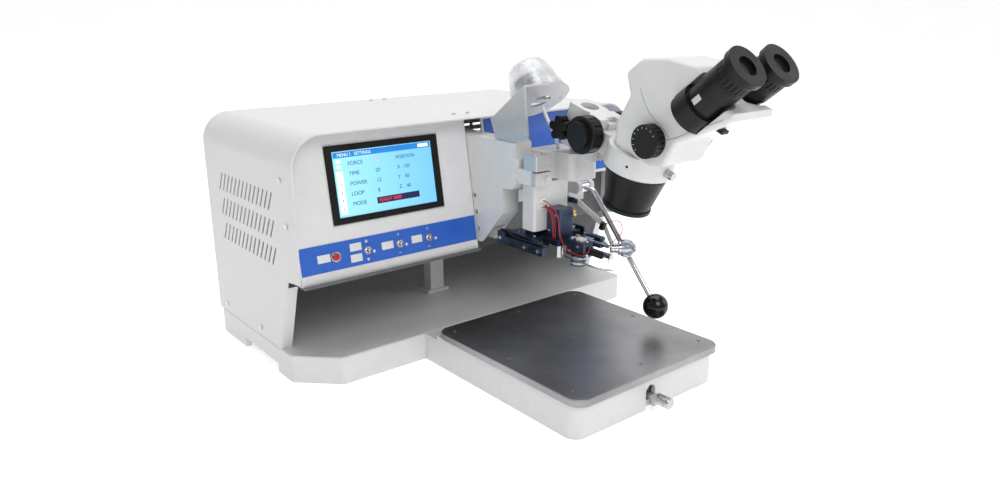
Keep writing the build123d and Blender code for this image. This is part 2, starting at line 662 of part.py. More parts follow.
def make_left_fascia():
    z0, z1 = FLOOR_Z + 0.0, CABINET_TOP_Z - SHEET - 0.6
    x0 = -HALF_WIDTH + SHEET + BODY_GAP
    panel = fascia_sheet(x0, FASCIA_LEFT_END_X, z0 + 1, z1, -SHEET, 0)
    panel -= corner_trim(-1, BODY_GAP, 0, 200)
    foot = block(x0, FASCIA_LEFT_END_X, CABINET_FRONT_Y - 2.5, CABINET_FRONT_Y + 10, FLOOR_Z, FLOOR_Z + 1.5)
    panel += foot
    panel -= fascia_sheet(
        BEZEL_CENTRE_X - SCREEN_WIDTH / 2 - 5,
        BEZEL_CENTRE_X + SCREEN_WIDTH / 2 + 5,
        BEZEL_CENTRE_Z - SCREEN_HEIGHT / 2 - 3,
        BEZEL_CENTRE_Z + SCREEN_HEIGHT / 2 + 3,
        -SHEET - 1,
        1,
    )
    panel -= extrude(fascia_plane(BUTTON_X, CONTROL_ROW_Z, -8) * Circle(BUTTON_RING_DIAMETER / 2 - 1.5), 12)
    for x in TOGGLE_XS:
        panel -= extrude(fascia_plane(x, CONTROL_ROW_Z, -8) * Circle(TOGGLE_BUSH_DIAMETER / 2 - 2), 12)
    return panel


def make_blue_panels():
    strip = fascia_sheet(STRIP_LEFT_X, STRIP_RIGHT_X, STRIP_BOTTOM_Z, STRIP_TOP_Z, 0, PANEL_SKIN)
    strip -= extrude(fascia_plane(BUTTON_X, CONTROL_ROW_Z, -2) * Circle(BUTTON_RING_DIAMETER / 2 - 1.5), 6)
    for x in TOGGLE_XS:
        strip -= extrude(fascia_plane(x, CONTROL_ROW_Z, -2) * Circle(TOGGLE_BUSH_DIAMETER / 2 - 2), 6)
    x0, x1 = RIGHT_FASCIA_X0 + 4, RIGHT_FASCIA_X1 - 12
    right = fascia_sheet(x0, x1, RIGHT_FASCIA_BOTTOM_Z + 5, 338.0, 0, PANEL_SKIN)
    right -= corner_trim(1, BODY_GAP + 3, 0, 200)
    return strip, right


RIGHT_FASCIA_X0 = ARM_LEFT_X + ARM_WIDTH + 0.5
RIGHT_FASCIA_X1 = HALF_WIDTH - SHEET - BODY_GAP


def make_right_fascia():
    z1 = CABINET_TOP_Z - SHEET - 0.6
    panel = fascia_sheet(RIGHT_FASCIA_X0, RIGHT_FASCIA_X1, RIGHT_FASCIA_BOTTOM_Z, z1, -SHEET, 0)
    panel -= corner_trim(1, BODY_GAP, 0, 200)
    y0 = fascia_y(RIGHT_FASCIA_BOTTOM_Z)
    roof = block(
        RIGHT_FASCIA_X0,
        RIGHT_FASCIA_X1,
        y0 + 1,
        BULKHEAD_Y - SHEET,
        RIGHT_FASCIA_BOTTOM_Z,
        RIGHT_FASCIA_BOTTOM_Z + SHEET,
    )
    return panel + roof


def make_rear_panel():
    inner = HALF_WIDTH - SHEET - BODY_GAP
    top = CABINET_TOP_Z - SHEET - BODY_GAP
    panel = block(-inner, inner, BASE_REAR_Y - SHEET, BASE_REAR_Y, BASE_TOP_Z, top)
    for side in (-1, 1):
        panel -= corner_trim(side, BODY_GAP, BASE_REAR_Y - 5, BASE_REAR_Y + 5)
    panel -= block(INLET_X - 14, INLET_X + 14, BASE_REAR_Y - 5, BASE_REAR_Y + 5, INLET_Z - 24, INLET_Z + 24)
    for row in range(6):
        z = 250.0 + row * 12
        for column in range(8):
            x = 60.0 + column * 26
            panel -= Pos(x, BASE_REAR_Y, z) * Rot(90, 0, 0) * extrude(SlotOverall(20, 4), 10, both=True)
    return panel


INLET_INSET = 73.5
INLET_X = -HALF_WIDTH + INLET_INSET
INLET_Z = 105.0


def make_power_inlet():
    face = BASE_REAR_Y
    flange = block(INLET_X - 17, INLET_X + 17, face, face + 2.5, INLET_Z - 30, INLET_Z + 30)
    body = block(INLET_X - 13.7, INLET_X + 13.7, face - 24, face + 1, INLET_Z - 23.7, INLET_Z + 23.7)
    inlet = flange + body
    inlet -= block(INLET_X - 9, INLET_X + 9, face - 18, face + 5, INLET_Z - 20, INLET_Z - 4)
    for x in (-5.0, 0.0, 5.0):
        z = INLET_Z - (10 if x == 0 else 14)
        inlet += block(INLET_X + x - 1, INLET_X + x + 1, face - 19, face - 4, z - 2, z + 2)
    inlet -= block(INLET_X - 9.5, INLET_X + 9.5, face - 13, face + 5, INLET_Z + 6, INLET_Z + 22)
    return inlet


def make_power_rocker():
    y, z = BASE_REAR_Y - 3.0, INLET_Z + 14
    body = rod((INLET_X - 9.2, y, z), (INLET_X + 9.2, y, z), 14.0)
    body &= block(INLET_X - 10, INLET_X + 10, y - 6.5, y + 7, z - 7, z + 7)
    return body


def make_support_column():
    x0, x1 = COLUMN_X - COLUMN_WIDTH / 2, COLUMN_X + COLUMN_WIDTH / 2
    y0, y1 = COLUMN_Y - COLUMN_DEPTH / 2, COLUMN_Y + COLUMN_DEPTH / 2
    column = block(x0, x1, y0, y1, BASE_TOP_Z, FLOOR_Z - SHEET)
    foot = block(x0 - 8, x1 + 8, y0 - 4, y1 + 12, BASE_TOP_Z, BASE_TOP_Z + 5)
    return column + foot


save("left_cover", make_cover(-1))
save("right_cover", make_cover(1))
save("cover_screws", *make_cover_screws())
save("cabinet_floor", make_cabinet_floor())
save("left_fascia", make_left_fascia())
save("blue_panels", *make_blue_panels())
save("right_fascia", make_right_fascia())
save("rear_panel", make_rear_panel())
save("power_inlet", make_power_inlet())
save("power_rocker", make_power_rocker())
save("support_column", make_support_column())


# Display and panel controls


def make_display_bezel():
    centre = (BEZEL_CENTRE_X, BEZEL_CENTRE_Z)
    frame = extrude(fascia_plane(*centre, 0) * RectangleRounded(BEZEL_WIDTH, BEZEL_HEIGHT, 2.5), 1.6)
    frame += extrude(fascia_plane(*centre, -8) * Rectangle(SCREEN_WIDTH + 9, SCREEN_HEIGHT + 5), 8.5)
    frame -= extrude(fascia_plane(*centre, -5) * Rectangle(SCREEN_WIDTH, SCREEN_HEIGHT), 10)
    return frame


def make_display_screen():
    place = fascia_plane(BEZEL_CENTRE_X, BEZEL_CENTRE_Z, -5)
    return extrude(place * Rectangle(SCREEN_WIDTH, SCREEN_HEIGHT), 5.4)


def make_panel_bushings():
    out = 0.8
    bore = BUTTON_DIAMETER + 2 * SHAFT_CLEARANCE
    place = fascia_plane(BUTTON_X, CONTROL_ROW_Z, -12)
    barrel = extrude(place * (Circle(BUTTON_RING_DIAMETER / 2 - 1.6) - Circle(bore / 2)), 13)
    rim = Circle(BUTTON_RING_DIAMETER / 2) - Circle(bore / 2)
    flange = extrude(fascia_plane(BUTTON_X, CONTROL_ROW_Z, out) * rim, 2.2)
    pieces = [barrel + flange]
    for x in TOGGLE_XS:
        body = extrude(fascia_plane(x, CONTROL_ROW_Z, -16) * Rectangle(8, 13), 14)
        neck = extrude(fascia_plane(x, CONTROL_ROW_Z, -3) * Circle(TOGGLE_BUSH_DIAMETER / 2 - 2.2), 7)
        nut = extrude(fascia_plane(x, CONTROL_ROW_Z, out) * RegularPolygon(TOGGLE_BUSH_DIAMETER / 2, 6), 2.6)
        bush = body + neck + nut
        bush -= extrude(fascia_plane(x, CONTROL_ROW_Z, -8) * Circle(2.6), 20)
        pivot = fascia_plane(x, CONTROL_ROW_Z, 0.5).origin
        bush -= Pos(*pivot) * Sphere(3.0)
        pin_bore = TOGGLE_PIN_DIAMETER + 2 * SHAFT_CLEARANCE
        bush -= rod((x - 3.5, pivot.Y, pivot.Z), (x + 3.5, pivot.Y, pivot.Z), pin_bore)
        pieces.append(bush)
    return pieces


def make_start_button():
    cap = extrude(fascia_plane(BUTTON_X, CONTROL_ROW_Z, -6) * Circle(BUTTON_DIAMETER / 2), 12.2)
    return fillet(cap.edges().sort_by(Axis.Y)[0], 1.5)


def make_toggle_lever(x):
    place = fascia_plane(x, CONTROL_ROW_Z, 0.5)
    cone = extrude(place * Circle(1.5), TOGGLE_LENGTH, taper=-2.2)
    tip = Pos(*(place.origin + place.z_dir * TOGGLE_LENGTH)) * Sphere(2.3)
    ball = Pos(*place.origin) * Sphere(2.9)
    x_pin, y_pin, z_pin = place.origin.X, place.origin.Y, place.origin.Z
    pin = rod((x_pin - 3.3, y_pin, z_pin), (x_pin + 3.3, y_pin, z_pin), TOGGLE_PIN_DIAMETER)
    return cone + tip + ball + pin


save("display_bezel", make_display_bezel())
save("display_screen", make_display_screen())
save("panel_bushings", *make_panel_bushings())
save("start_button", make_start_button())
for number, toggle_x in enumerate(TOGGLE_XS, start=1):
    save(f"toggle_lever_{number}", make_toggle_lever(toggle_x))


# Head arm casting, nose clamp and slide rail

ARM_RIGHT_X = ARM_LEFT_X + ARM_WIDTH
ARM_ROOT_Y = 130.0
ARM_OUTLINE = [
    (ARM_ROOT_Y, ARM_TOP_Z),
    (ARM_FRONT_Y, ARM_TOP_Z),
    (ARM_FRONT_Y, 262.0),
    (-10.0, 254.0),
    (9.0, 252.0),
    (9.0, 215.0),
    (58.5, 163.0),
    (ARM_ROOT_Y, 163.0),
]


def make_head_arm():
    casting = side_plate(ARM_OUTLINE, ARM_LEFT_X, ARM_RIGHT_X)
    hollow = [
        (ARM_ROOT_Y - 6, ARM_TOP_Z - 10),
        (ARM_FRONT_Y - 1, ARM_TOP_Z - 24),
        (ARM_FRONT_Y - 1, 276.0),
        (12.0, 258.0),
        (13.0, 212.0),
        (60.0, 160.0),
        (ARM_ROOT_Y - 6, 160.0),
    ]
    casting -= side_plate(hollow, ARM_LEFT_X + ARM_PLATE, ARM_RIGHT_X - ARM_PLATE)
    casting = chamfer(casting.edges().filter_by(Axis.Y).group_by(Axis.Z)[-1], 3.0)
    for z in (231.5, 206.7, 181.7):
        y = fascia_y(z) - 4
        casting -= rod((ARM_LEFT_X - 1, y, z), (ARM_LEFT_X + ARM_PLATE + 1, y, z), 7.0)
    nose = [
        (ARM_FRONT_Y + 0.5, 300.0),
        (ARM_FRONT_Y - 6, 300.0),
        (ARM_FRONT_Y - 6, 286.0),
        (ARM_NOSE_Y, 286.0),
        (ARM_NOSE_Y, 266.0),
        (ARM_FRONT_Y - 8, 266.0),
        (ARM_FRONT_Y + 0.5, 272.0),
    ]
    casting += side_plate(nose, ARM_LEFT_X, ARM_RIGHT_X)
    socket = block(ARM_RIGHT_X - 1, SCOPE_X + 24, -84.0, -6.0, POST_SOCKET_BOTTOM_Z, POST_SOCKET_TOP_Z)
    socket -= block(ARM_RIGHT_X - 2, 34.0, -90.0, -48.0, POST_SOCKET_BOTTOM_Z - 1, POST_SOCKET_TOP_Z + 1)
    socket = fillet(socket.edges().filter_by(Axis.Z).sort_by(Axis.Y)[:2], 12.0)
    casting += socket
    casting -= extrude(scope_plane(POST_LOW, POST_BACK) * Circle(POST_DIAMETER / 2), 80)
    low = POST_SOCKET_BOTTOM_Z
    wall = block(ARM_RIGHT_X - 1, SCOPE_X + 24, -12.0, CABINET_FRONT_Y, low, low + 12)
    casting += wall
    return casting


POST_LOW = -2.0


def make_arm_clamp():
    x0, x1 = ARM_LEFT_X, ARM_RIGHT_X
    lower = block(x0, x1, ARM_NOSE_Y - 9, ARM_NOSE_Y - 0.05, 266.0, 284.0)
    upper = block(x0 + 1, x1 - 1, ARM_NOSE_Y - 9, ARM_FRONT_Y - 16, 286.05, 307.0)
    upper = fillet(upper.edges().filter_by(Axis.Z), 1.5)
    screws = []
    for x in (x0 + 7, x1 - 8):
        cap = rod((x, -52.0, 307.0), (x, -52.0, 309.5), 7.0)
        cap -= Pos(x, -52.0, 308.5) * extrude(RegularPolygon(2, 6), 3)
        screws.append(cap)
    bolt = rod((x1 - 9, ARM_NOSE_Y - 11.5, 275.0), (x1 - 9, ARM_NOSE_Y - 9.0, 275.0), 8.0)
    return lower, upper, *screws, bolt


def make_slide_rail():
    half = RAIL_WIDTH / 2
    rail = block(
        RAIL_CENTRE_X - half,
        RAIL_CENTRE_X + half,
        RAIL_FRONT_Y,
        RAIL_BACK_Y,
        RAIL_BOTTOM_Z,
        POST_SOCKET_BOTTOM_Z,
    )
    for side in (-1, 1):
        groove_x = RAIL_CENTRE_X + side * half
        rail -= rod((groove_x, -15.5, RAIL_BOTTOM_Z - 1), (groove_x, -15.5, POST_SOCKET_BOTTOM_Z - 4), 3.0)
    return rail


save("head_arm", make_head_arm())
save("arm_clamp", *make_arm_clamp())
save("head_slide_rail", make_slide_rail())


# Bond head: carriage, cover, transducer, clamp, wand, solenoid, lamp and wires


def make_head_carriage():
    half = RAIL_WIDTH / 2
    x0, x1 = RAIL_CENTRE_X - half - 12, RAIL_CENTRE_X + half + 12
    back = RAIL_FRONT_Y - SLIDE_CLEARANCE
    plate = block(x0, x1, back - 11, back, PLATFORM_TOP_Z - 2, 250.0)
    for side in (-1, 1):
        inner = RAIL_CENTRE_X + side * (half + SLIDE_CLEARANCE)
        outer = RAIL_CENTRE_X + side * (half + 12)
        g0, g1 = sorted((inner, outer))
        plate += block(g0, g1, back - 1, RAIL_BACK_Y - 1, PLATFORM_TOP_Z - 2, 250.0)
    bottom = PLATFORM_TOP_Z - PLATFORM_THICKNESS
    platform = block(-6.0, 76.0, PLATFORM_FRONT_Y, 6.0, bottom, PLATFORM_TOP_Z)
    platform = fillet(platform.edges().filter_by(Axis.Z), 6.0)
    platform -= block(-7.0, 14.0, -79.0, -46.0, bottom - 1, PLATFORM_TOP_Z + 1)
    body = plate + platform
    body += block(-14.0, -5.0, -76.0, 20.0, bottom - 10, bottom + 2)
    body += block(-14.0, 4.0, 4.0, 20.0, bottom - 10, PLATFORM_TOP_Z)
    nose = block(31.0, 50.0, -112.0, PLATFORM_FRONT_Y + 1, 168.0, PLATFORM_TOP_Z)
    body += chamfer(nose.edges().group_by(Axis.Y)[0], 2.0)
    body += rod((39.5, -93.0, 154.0), (39.5, -93.0, 169.0), 22.0)
    body += rod((62.0, -56.0, PLATFORM_TOP_Z - 1), (62.0, -56.0, PLATFORM_TOP_Z + 5), 24.0)
    body += block(70.5, 80.0, -104.0, PLATFORM_FRONT_Y + 1, 174.0, PLATFORM_TOP_Z)
    body += block(72.0, 76.0, -70.0, -20.0, PLATFORM_TOP_Z - 1, PLATFORM_TOP_Z + 9)
    for z in (210.0, 240.0):
        body += rod((x0 + 8, back - 11, z), (x0 + 8, HEAD_COVER_FRONT_Y + HEAD_COVER_WALL, z), 8.0)
        body += rod((x1 - 8, back - 11, z), (x1 - 8, HEAD_COVER_FRONT_Y + HEAD_COVER_WALL, z), 8.0)
    for x in (TIP_X - 15.0, TIP_X + 9.0):
        body += block(x, x + 6, ARM_PIVOT_Y - 7, ARM_PIVOT_Y + 7, HORN_Z - 7, bottom + 1)
    start, end = (TIP_X - 20, ARM_PIVOT_Y, HORN_Z), (TIP_X + 20, ARM_PIVOT_Y, HORN_Z)
    body -= rod(start, end, ARM_PIVOT_DIAMETER + 2 * SHAFT_CLEARANCE)
    return body


def make_head_cover():
    x0, x1 = HEAD_COVER_LEFT_X, HEAD_COVER_LEFT_X + HEAD_COVER_WIDTH
    y0, y1 = HEAD_COVER_FRONT_Y, HEAD_COVER_BACK_Y
    z0, z1 = HEAD_COVER_BOTTOM_Z, HEAD_COVER_TOP_Z
    wall = HEAD_COVER_WALL
    shell = block(x0, x1, y0, y1, z0, z1)
    shell = fillet(shell.edges().filter_by(Axis.Z).group_by(Axis.Y)[0], 4.0)
    corner = Pos(x1, (y0 + y1) / 2, z0) * Rot(0, 45, 0) * Box(24, 80, 24)
    shell -= corner
    shell -= block(x0 + wall, x1 - wall, y0 + wall, y1 + 1, z0 - 1, z1 - wall)
    shell -= block(x0 - 1, ARM_RIGHT_X + 0.5, ARM_FRONT_Y - 1, y1 + 1, z0 - 1, z1 + 1)
    shell -= block(RAIL_CENTRE_X - 24, RAIL_CENTRE_X + 24, y0 + 9, y1 + 1, z1 - wall - 1, z1 + 1)
    return shell


def make_solenoid():
    can = block(22.0, 48.0, -72.0, HEAD_COVER_FRONT_Y - 1.0, PLATFORM_TOP_Z, 230.0)
    can = fillet(can.edges().filter_by(Axis.Z), 2.0)
    can -= rod((30.0, -58.0, 218.0), (49.0, -58.0, 218.0), 10.0 + 2 * SHAFT_CLEARANCE)
    return can


def make_brass_plunger():
    body = rod((34.5, -58.0, 218.0), (62.0, -58.0, 218.0), 10.0)
    head = rod((56.0, -58.0, 218.0), (62.0, -58.0, 218.0), 13.0)
    return chamfer((body + head).edges().sort_by(Axis.X)[-1], 0.8)


def make_transducer():
    x, z = TIP_X, HORN_Z
    arm = block(x - 8.9, x + 8.9, ARM_PIVOT_Y - 22, ARM_PIVOT_Y + 6, z - 6, z + 6)
    pin = rod((x - 14.5, ARM_PIVOT_Y, z), (x + 14.5, ARM_PIVOT_Y, z), ARM_PIVOT_DIAMETER)
    collar = rod((x, ARM_PIVOT_Y - 36, z), (x, ARM_PIVOT_Y - 21, z), HORN_BODY_DIAMETER)
    stack = rod((x, ARM_PIVOT_Y - 56, z), (x, ARM_PIVOT_Y - 35, z), HORN_BODY_DIAMETER - 5)
    profile = [
        (0, 0),
        (HORN_DIAMETER / 2, 0),
        (HORN_DIAMETER / 2, 26),
        (HORN_BODY_DIAMETER / 2 - 3, 60),
        (0, 60),
    ]
    cone_plane = Plane(origin=(x, TIP_Y - 5, z), x_dir=(1, 0, 0), z_dir=(0, 0, 1))
    horn = revolve(cone_plane * make_face(Polyline(*profile, close=True)), Axis((x, TIP_Y, z), (0, 1, 0)))
    body = arm + pin + collar + stack + horn
    body -= rod((x, TIP_Y, z - 10), (x, TIP_Y, z + 10), 1.6 + 2 * SHAFT_CLEARANCE)
    return body


def make_capillary():
    shank = rod((TIP_X, TIP_Y, TIP_Z + 3), (TIP_X, TIP_Y, HORN_Z + 6), 1.6)
    tip = Pos(TIP_X, TIP_Y, TIP_Z + 1.5) * Cone(0.3, 0.8, 3.0)
    return shank + tip


def make_wire_clamp():
    x, y, z = TIP_X, TIP_Y, HORN_Z + 14
    base = block(x - 6, x + 6, y + 34, PLATFORM_FRONT_Y, z - 3, z + 3)
    jaws = [
        block(x - 3.4, x - 0.5, y - 2, y + 34, z - 2, z + 1),
        block(x + 0.5, x + 3.4, y - 2, y + 34, z - 2, z + 1),
    ]
    return base + jaws[0] + jaws[1]


def make_flame_wand():
    pivot = (TIP_X - 32, -66.0)
    hub = rod((*pivot, HORN_Z - 10), (*pivot, PLATFORM_TOP_Z - PLATFORM_THICKNESS - BODY_GAP), 10.0)
    path = FilletPolyline(
        (pivot[0], pivot[1], HORN_Z - 7),
        (pivot[0] - 4, TIP_Y - 16, HORN_Z - 7),
        (TIP_X - 6, TIP_Y - 14, TIP_Z - 4),
        radius=9,
    )
    section = Plane(origin=path @ 0, z_dir=path % 0) * Circle(1.3)
    return hub + sweep(section, path)


def make_spot_lamp():
    band_top = Vector(LAMP_ARM_X, -52.0, 233.0)
    band_end = Vector(LAMP_ARM_X, -108.0, 208.0)
    run = (band_end - band_top).normalized()
    place = Plane(origin=(band_top + band_end) / 2, x_dir=run, z_dir=(1, 0, 0))
    band = extrude(place * SlotOverall((band_end - band_top).length + 8, 8.0), 3.0)
    hanger = block(HEAD_COVER_LEFT_X + HEAD_COVER_WIDTH, LAMP_ARM_X + 3, -40.0, -30.0, 228.0, 236.0)
    hanger += block(LAMP_ARM_X, LAMP_ARM_X + 3, -56.0, -30.0, 228.0, 236.0)
    link = rod(tuple(band_end + Vector(1.5, 0, 0)), (LAMP_ARM_X + 1.5, -126.0, 180.0), 6.0)
    heel = Vector(LAMP_ARM_X - 2, -124.0, 179.0)
    aim = Vector(0.77, -0.63, 0).normalized()
    neck = rod(tuple(heel), tuple(heel + aim * 14), 14.0)
    dome = Pos(*(heel + aim * 22)) * Sphere(13.0)
    return band + hanger + link + neck + dome


save("head_carriage", make_head_carriage())
save("head_cover", make_head_cover())
save("solenoid", make_solenoid())
save("brass_plunger", make_brass_plunger())
save("transducer", make_transducer())
save("capillary", make_capillary())
save("wire_clamp", make_wire_clamp())
save("flame_wand", make_flame_wand())
save("spot_lamp", make_spot_lamp())


# Spool bracket, spool, dome and wire tube


def make_spool_bracket():
    lean = radians(SPOOL_LEAN)
    half = SPOOL_PLATE_RADIUS
    down = Vector(0, cos(lean), -sin(lean))
    seat = Vector(0, SPOOL_SEAT_Y, SPOOL_SEAT_Z)
    top = seat - down * half
    low = seat + down * half
    outline = [
        (24.0, ARM_TOP_Z),
        (low.Y, low.Z),
        (top.Y, top.Z),
        (-44.5, ARM_TOP_Z + 6),
        (ARM_FRONT_Y, ARM_TOP_Z),
    ]
    wall = side_plate(outline, ARM_LEFT_X, ARM_LEFT_X + SPOOL_PLATE_THICKNESS)
    plane = spool_plane(-SPOOL_PLATE_THICKNESS)
    reach = SPOOL_SEAT_X - ARM_LEFT_X
    tongue = Pos(-reach / 2, 0) * Rectangle(reach, 2 * half) + Circle(half)
    tongue -= Circle(15.0)
    for x, y in ((23, 14), (32, -6)):
        tongue -= Pos(x, y) * Circle(1.6)
    shelf = extrude(plane * tongue, SPOOL_PLATE_THICKNESS)
    foot = block(ARM_LEFT_X, ARM_RIGHT_X - 2, -16.0, 22.0, ARM_TOP_Z, ARM_TOP_Z + SPOOL_PLATE_THICKNESS)
    bar = extrude(plane * Rectangle(32, 8), SPOOL_PLATE_THICKNESS)
    spindle = extrude(spool_plane(-SPOOL_PLATE_THICKNESS) * Circle(SPINDLE_DIAMETER / 2), SPOOL_HEIGHT + 16)
    return wall + shelf + foot + bar + spindle


def make_wire_spool():
    bore = Circle(SPINDLE_DIAMETER / 2 + SHAFT_CLEARANCE)
    low = 9.0
    drum = extrude(spool_plane(low) * (Circle(SPOOL_DIAMETER / 2) - bore), SPOOL_HEIGHT)
    rims = [
        extrude(spool_plane(low) * (Circle(SPOOL_DIAMETER / 2 + 2) - bore), 2.0),
        extrude(spool_plane(low + SPOOL_HEIGHT - 2) * (Circle(SPOOL_DIAMETER / 2 + 2) - bore), 2.0),
    ]
    hub = extrude(spool_plane(BODY_GAP) * (Circle(9) - bore), low)
    return drum + rims[0] + rims[1] + hub


def make_spool_dome():
    foot = spool_plane(BODY_GAP) * Circle(DOME_DIAMETER / 2)
    crown = spool_plane(DOME_HEIGHT) * Circle(DOME_DIAMETER / 2 - 15)
    outer = loft([foot, crown])
    outer = fillet(outer.edges().sort_by(Axis.Z)[-1], 12.0)
    inner = loft(
        [
            spool_plane(BODY_GAP - 1) * Circle(DOME_DIAMETER / 2 - DOME_WALL),
            spool_plane(DOME_HEIGHT - DOME_WALL) * Circle(DOME_DIAMETER / 2 - 15 - DOME_WALL),
        ]
    )
    inner = fillet(inner.edges().sort_by(Axis.Z)[-1], 10.0)
    return outer - inner


WIRE_TUBE_DIAMETER = 5.0
WIRE_TUBE_ROUTE = [
    (46.0, -7.0, 364.0),
    (47.0, -17.0, 345.0),
    (50.0, -31.0, 326.0),
    (50.0, -36.0, POST_SOCKET_TOP_Z + 0.9),
]
WIRE_DIAMETER = 1.6
HEAD_WIRE_ROUTE = [
    (14.0, -44.0, 232.0),
    (14.0, -58.0, 232.0),
    (17.5, -64.0, 214.0),
    (17.5, -64.0, 189.0),
]


def cord_along(points, diameter, bend):
    """Round cord along a route of straight runs joined by even bends."""
    path = FilletPolyline(*points, radius=bend)
    return sweep(Plane(origin=path @ 0, z_dir=path % 0) * Circle(diameter / 2), path)


def make_wire_tube():
    return cord_along(WIRE_TUBE_ROUTE, WIRE_TUBE_DIAMETER, 12.0)


def make_head_wires():
    shifted = [(x + 2.5, y - 1.5, z) for x, y, z in HEAD_WIRE_ROUTE[1:]]
    shifted = [(HEAD_WIRE_ROUTE[0][0] + 2.5, HEAD_WIRE_ROUTE[0][1], HEAD_WIRE_ROUTE[0][2]), *shifted]
    return cord_along(HEAD_WIRE_ROUTE, WIRE_DIAMETER, 5.0), cord_along(shifted, WIRE_DIAMETER, 5.0)


save("wire_tube", make_wire_tube())
save("head_wires", *make_head_wires())
save("spool_bracket", make_spool_bracket())
save("wire_spool", make_wire_spool())
save("spool_dome", make_spool_dome())


# Microscope: post, focus block, ring, body, tubes and knobs


def fluted_knob(x0, x1, y, z, diameter, flutes, depth):
    """Knob along X between two places, with grip flutes round its rim."""
    low, high = sorted((x0, x1))
    knob = rod((low, y, z), (high, y, z), diameter)
    knob = chamfer(knob.edges().group_by(Axis.X)[0] + knob.edges().group_by(Axis.X)[-1], 1.2)
    for step in range(flutes):
        angle = radians(360 * step / flutes)
        fy, fz = y + diameter / 2 * cos(angle), z + diameter / 2 * sin(angle)
        knob -= rod((low + 3, fy, fz), (high - 3, fy, fz), depth * 2)
    return knob


def make_scope_post():
    return extrude(scope_plane(POST_LOW, POST_BACK) * Circle(POST_DIAMETER / 2), FOCUS_TOP - 6 - POST_LOW)


def make_focus_block():
    low = SLEEVE_LOW
    height = FOCUS_TOP - low
    outline = RectangleRounded(HOUSING_WIDTH, HOUSING_WIDTH + 4, 9.0)
    sleeve = extrude(scope_plane(low, POST_BACK + 2) * outline, height)
    link = extrude(scope_plane(low, (POST_BACK + 60) / 2) * Rectangle(36, POST_BACK - 60), height)
    head = extrude(scope_plane(low, 72) * Rectangle(46, 24), height)
    body = sleeve + link + head
    recess_y = scope_plane(low + 14, 88).origin
    for side in (-1, 1):
        x = SCOPE_X + side * 18
        body -= rod((x - 4, recess_y.Y, recess_y.Z), (x + 4, recess_y.Y, recess_y.Z), 10.0)
    post_bore = Circle(POST_DIAMETER / 2 + SHAFT_CLEARANCE)
    body -= extrude(scope_plane(low - 1, POST_BACK) * post_bore, height + 2)
    body -= extrude(scope_plane(low - 1, 60) * Rectangle(16.4, 12.4), height + 2)
    pinion = scope_plane(PINION_ALONG, PINION_BACK).origin
    bore = 8 + 2 * SHAFT_CLEARANCE
    body -= rod((SCOPE_X - 30, pinion.Y, pinion.Z), (SCOPE_X + 30, pinion.Y, pinion.Z), bore)
    return body


def make_focus_knobs():
    centre = scope_plane(PINION_ALONG, PINION_BACK).origin
    y, z = centre.Y, centre.Z
    body = rod((SCOPE_X - 40, y, z), (SCOPE_X + 40, y, z), 8.0)
    for side in (-1, 1):
        inner = SCOPE_X + side * 24
        body += fluted_knob(inner, inner + side * 20, y, z, FOCUS_KNOB_DIAMETER, 12, 1.6)
        narrow = rod((inner + side * 19, y, z), (inner + side * 27, y, z), FOCUS_KNOB_DIAMETER - 14)
        body += chamfer(narrow.edges().group_by(Axis.X)[0 if side < 0 else -1], 1.0)
    return body


def make_star_knob():
    plane = scope_plane(STAR_ALONG, STAR_BACK)
    y, z = plane.origin.Y, plane.origin.Z
    x_face = SCOPE_X - HOUSING_WIDTH / 2 - BODY_GAP
    knob = rod((x_face, y, z), (x_face - 19, y, z), 20.0)
    for lobe in range(5):
        angle = radians(72 * lobe + 18)
        ly, lz = y + 11 * cos(angle), z + 11 * sin(angle)
        knob += rod((x_face - 5, ly, lz), (x_face - 19, ly, lz), 12.0)
    return knob


def make_scope_ring():
    section = Circle(RING_OUTER / 2) - Circle(RING_BORE / 2 + SHAFT_CLEARANCE)
    band = extrude(scope_plane(RING_LOW) * section, RING_HEIGHT)
    back = RING_OUTER / 2
    bridge_plane = scope_plane(RING_LOW, (back + 59) / 2 - 1.5)
    bridge = extrude(bridge_plane * Rectangle(40, 59 - back + 3), RING_HEIGHT)
    bridge -= extrude(scope_plane(RING_LOW - 1) * Circle(RING_BORE / 2 + 2), RING_HEIGHT + 2)
    rack = extrude(scope_plane(40, 61.5) * Rectangle(16.0, 9.0), 52)
    body = band + bridge + rack
    screw_hole = scope_plane(RING_LOW + RING_HEIGHT / 2)
    end = screw_hole.origin - screw_hole.y_dir * (RING_OUTER / 2 + 2)
    start = screw_hole.origin - screw_hole.y_dir * (RING_BORE / 2 - 2)
    body -= rod(tuple(start), tuple(end), 5.0 + 2 * SHAFT_CLEARANCE)
    return body


def make_ring_screw():
    plane = scope_plane(RING_LOW + RING_HEIGHT / 2)
    out = plane.y_dir * -1
    base = plane.origin + out * (RING_BORE / 2 + 1.0)
    seat = plane.origin + out * (RING_OUTER / 2 + BODY_GAP)
    end = plane.origin + out * (RING_OUTER / 2 + 12)
    return rod(tuple(base), tuple(end), 5.0) + rod(tuple(seat), tuple(end), 11.0)


SCOPE_PROFILE = [
    (-166.0, 334.0),
    (-168.0, 362.0),
    (-188.0, 396.0),
    (-180.0, 423.0),
    (-204.0, 440.0),
    (-244.0, 442.0),
    (-286.0, 435.0),
    (-318.0, 396.0),
    (-338.0, 388.0),
    (-338.0, 380.0),
    (-300.0, 362.0),
    (-262.0, 346.0),
    (-246.0, 316.0),
    (-220.0, 313.0),
]


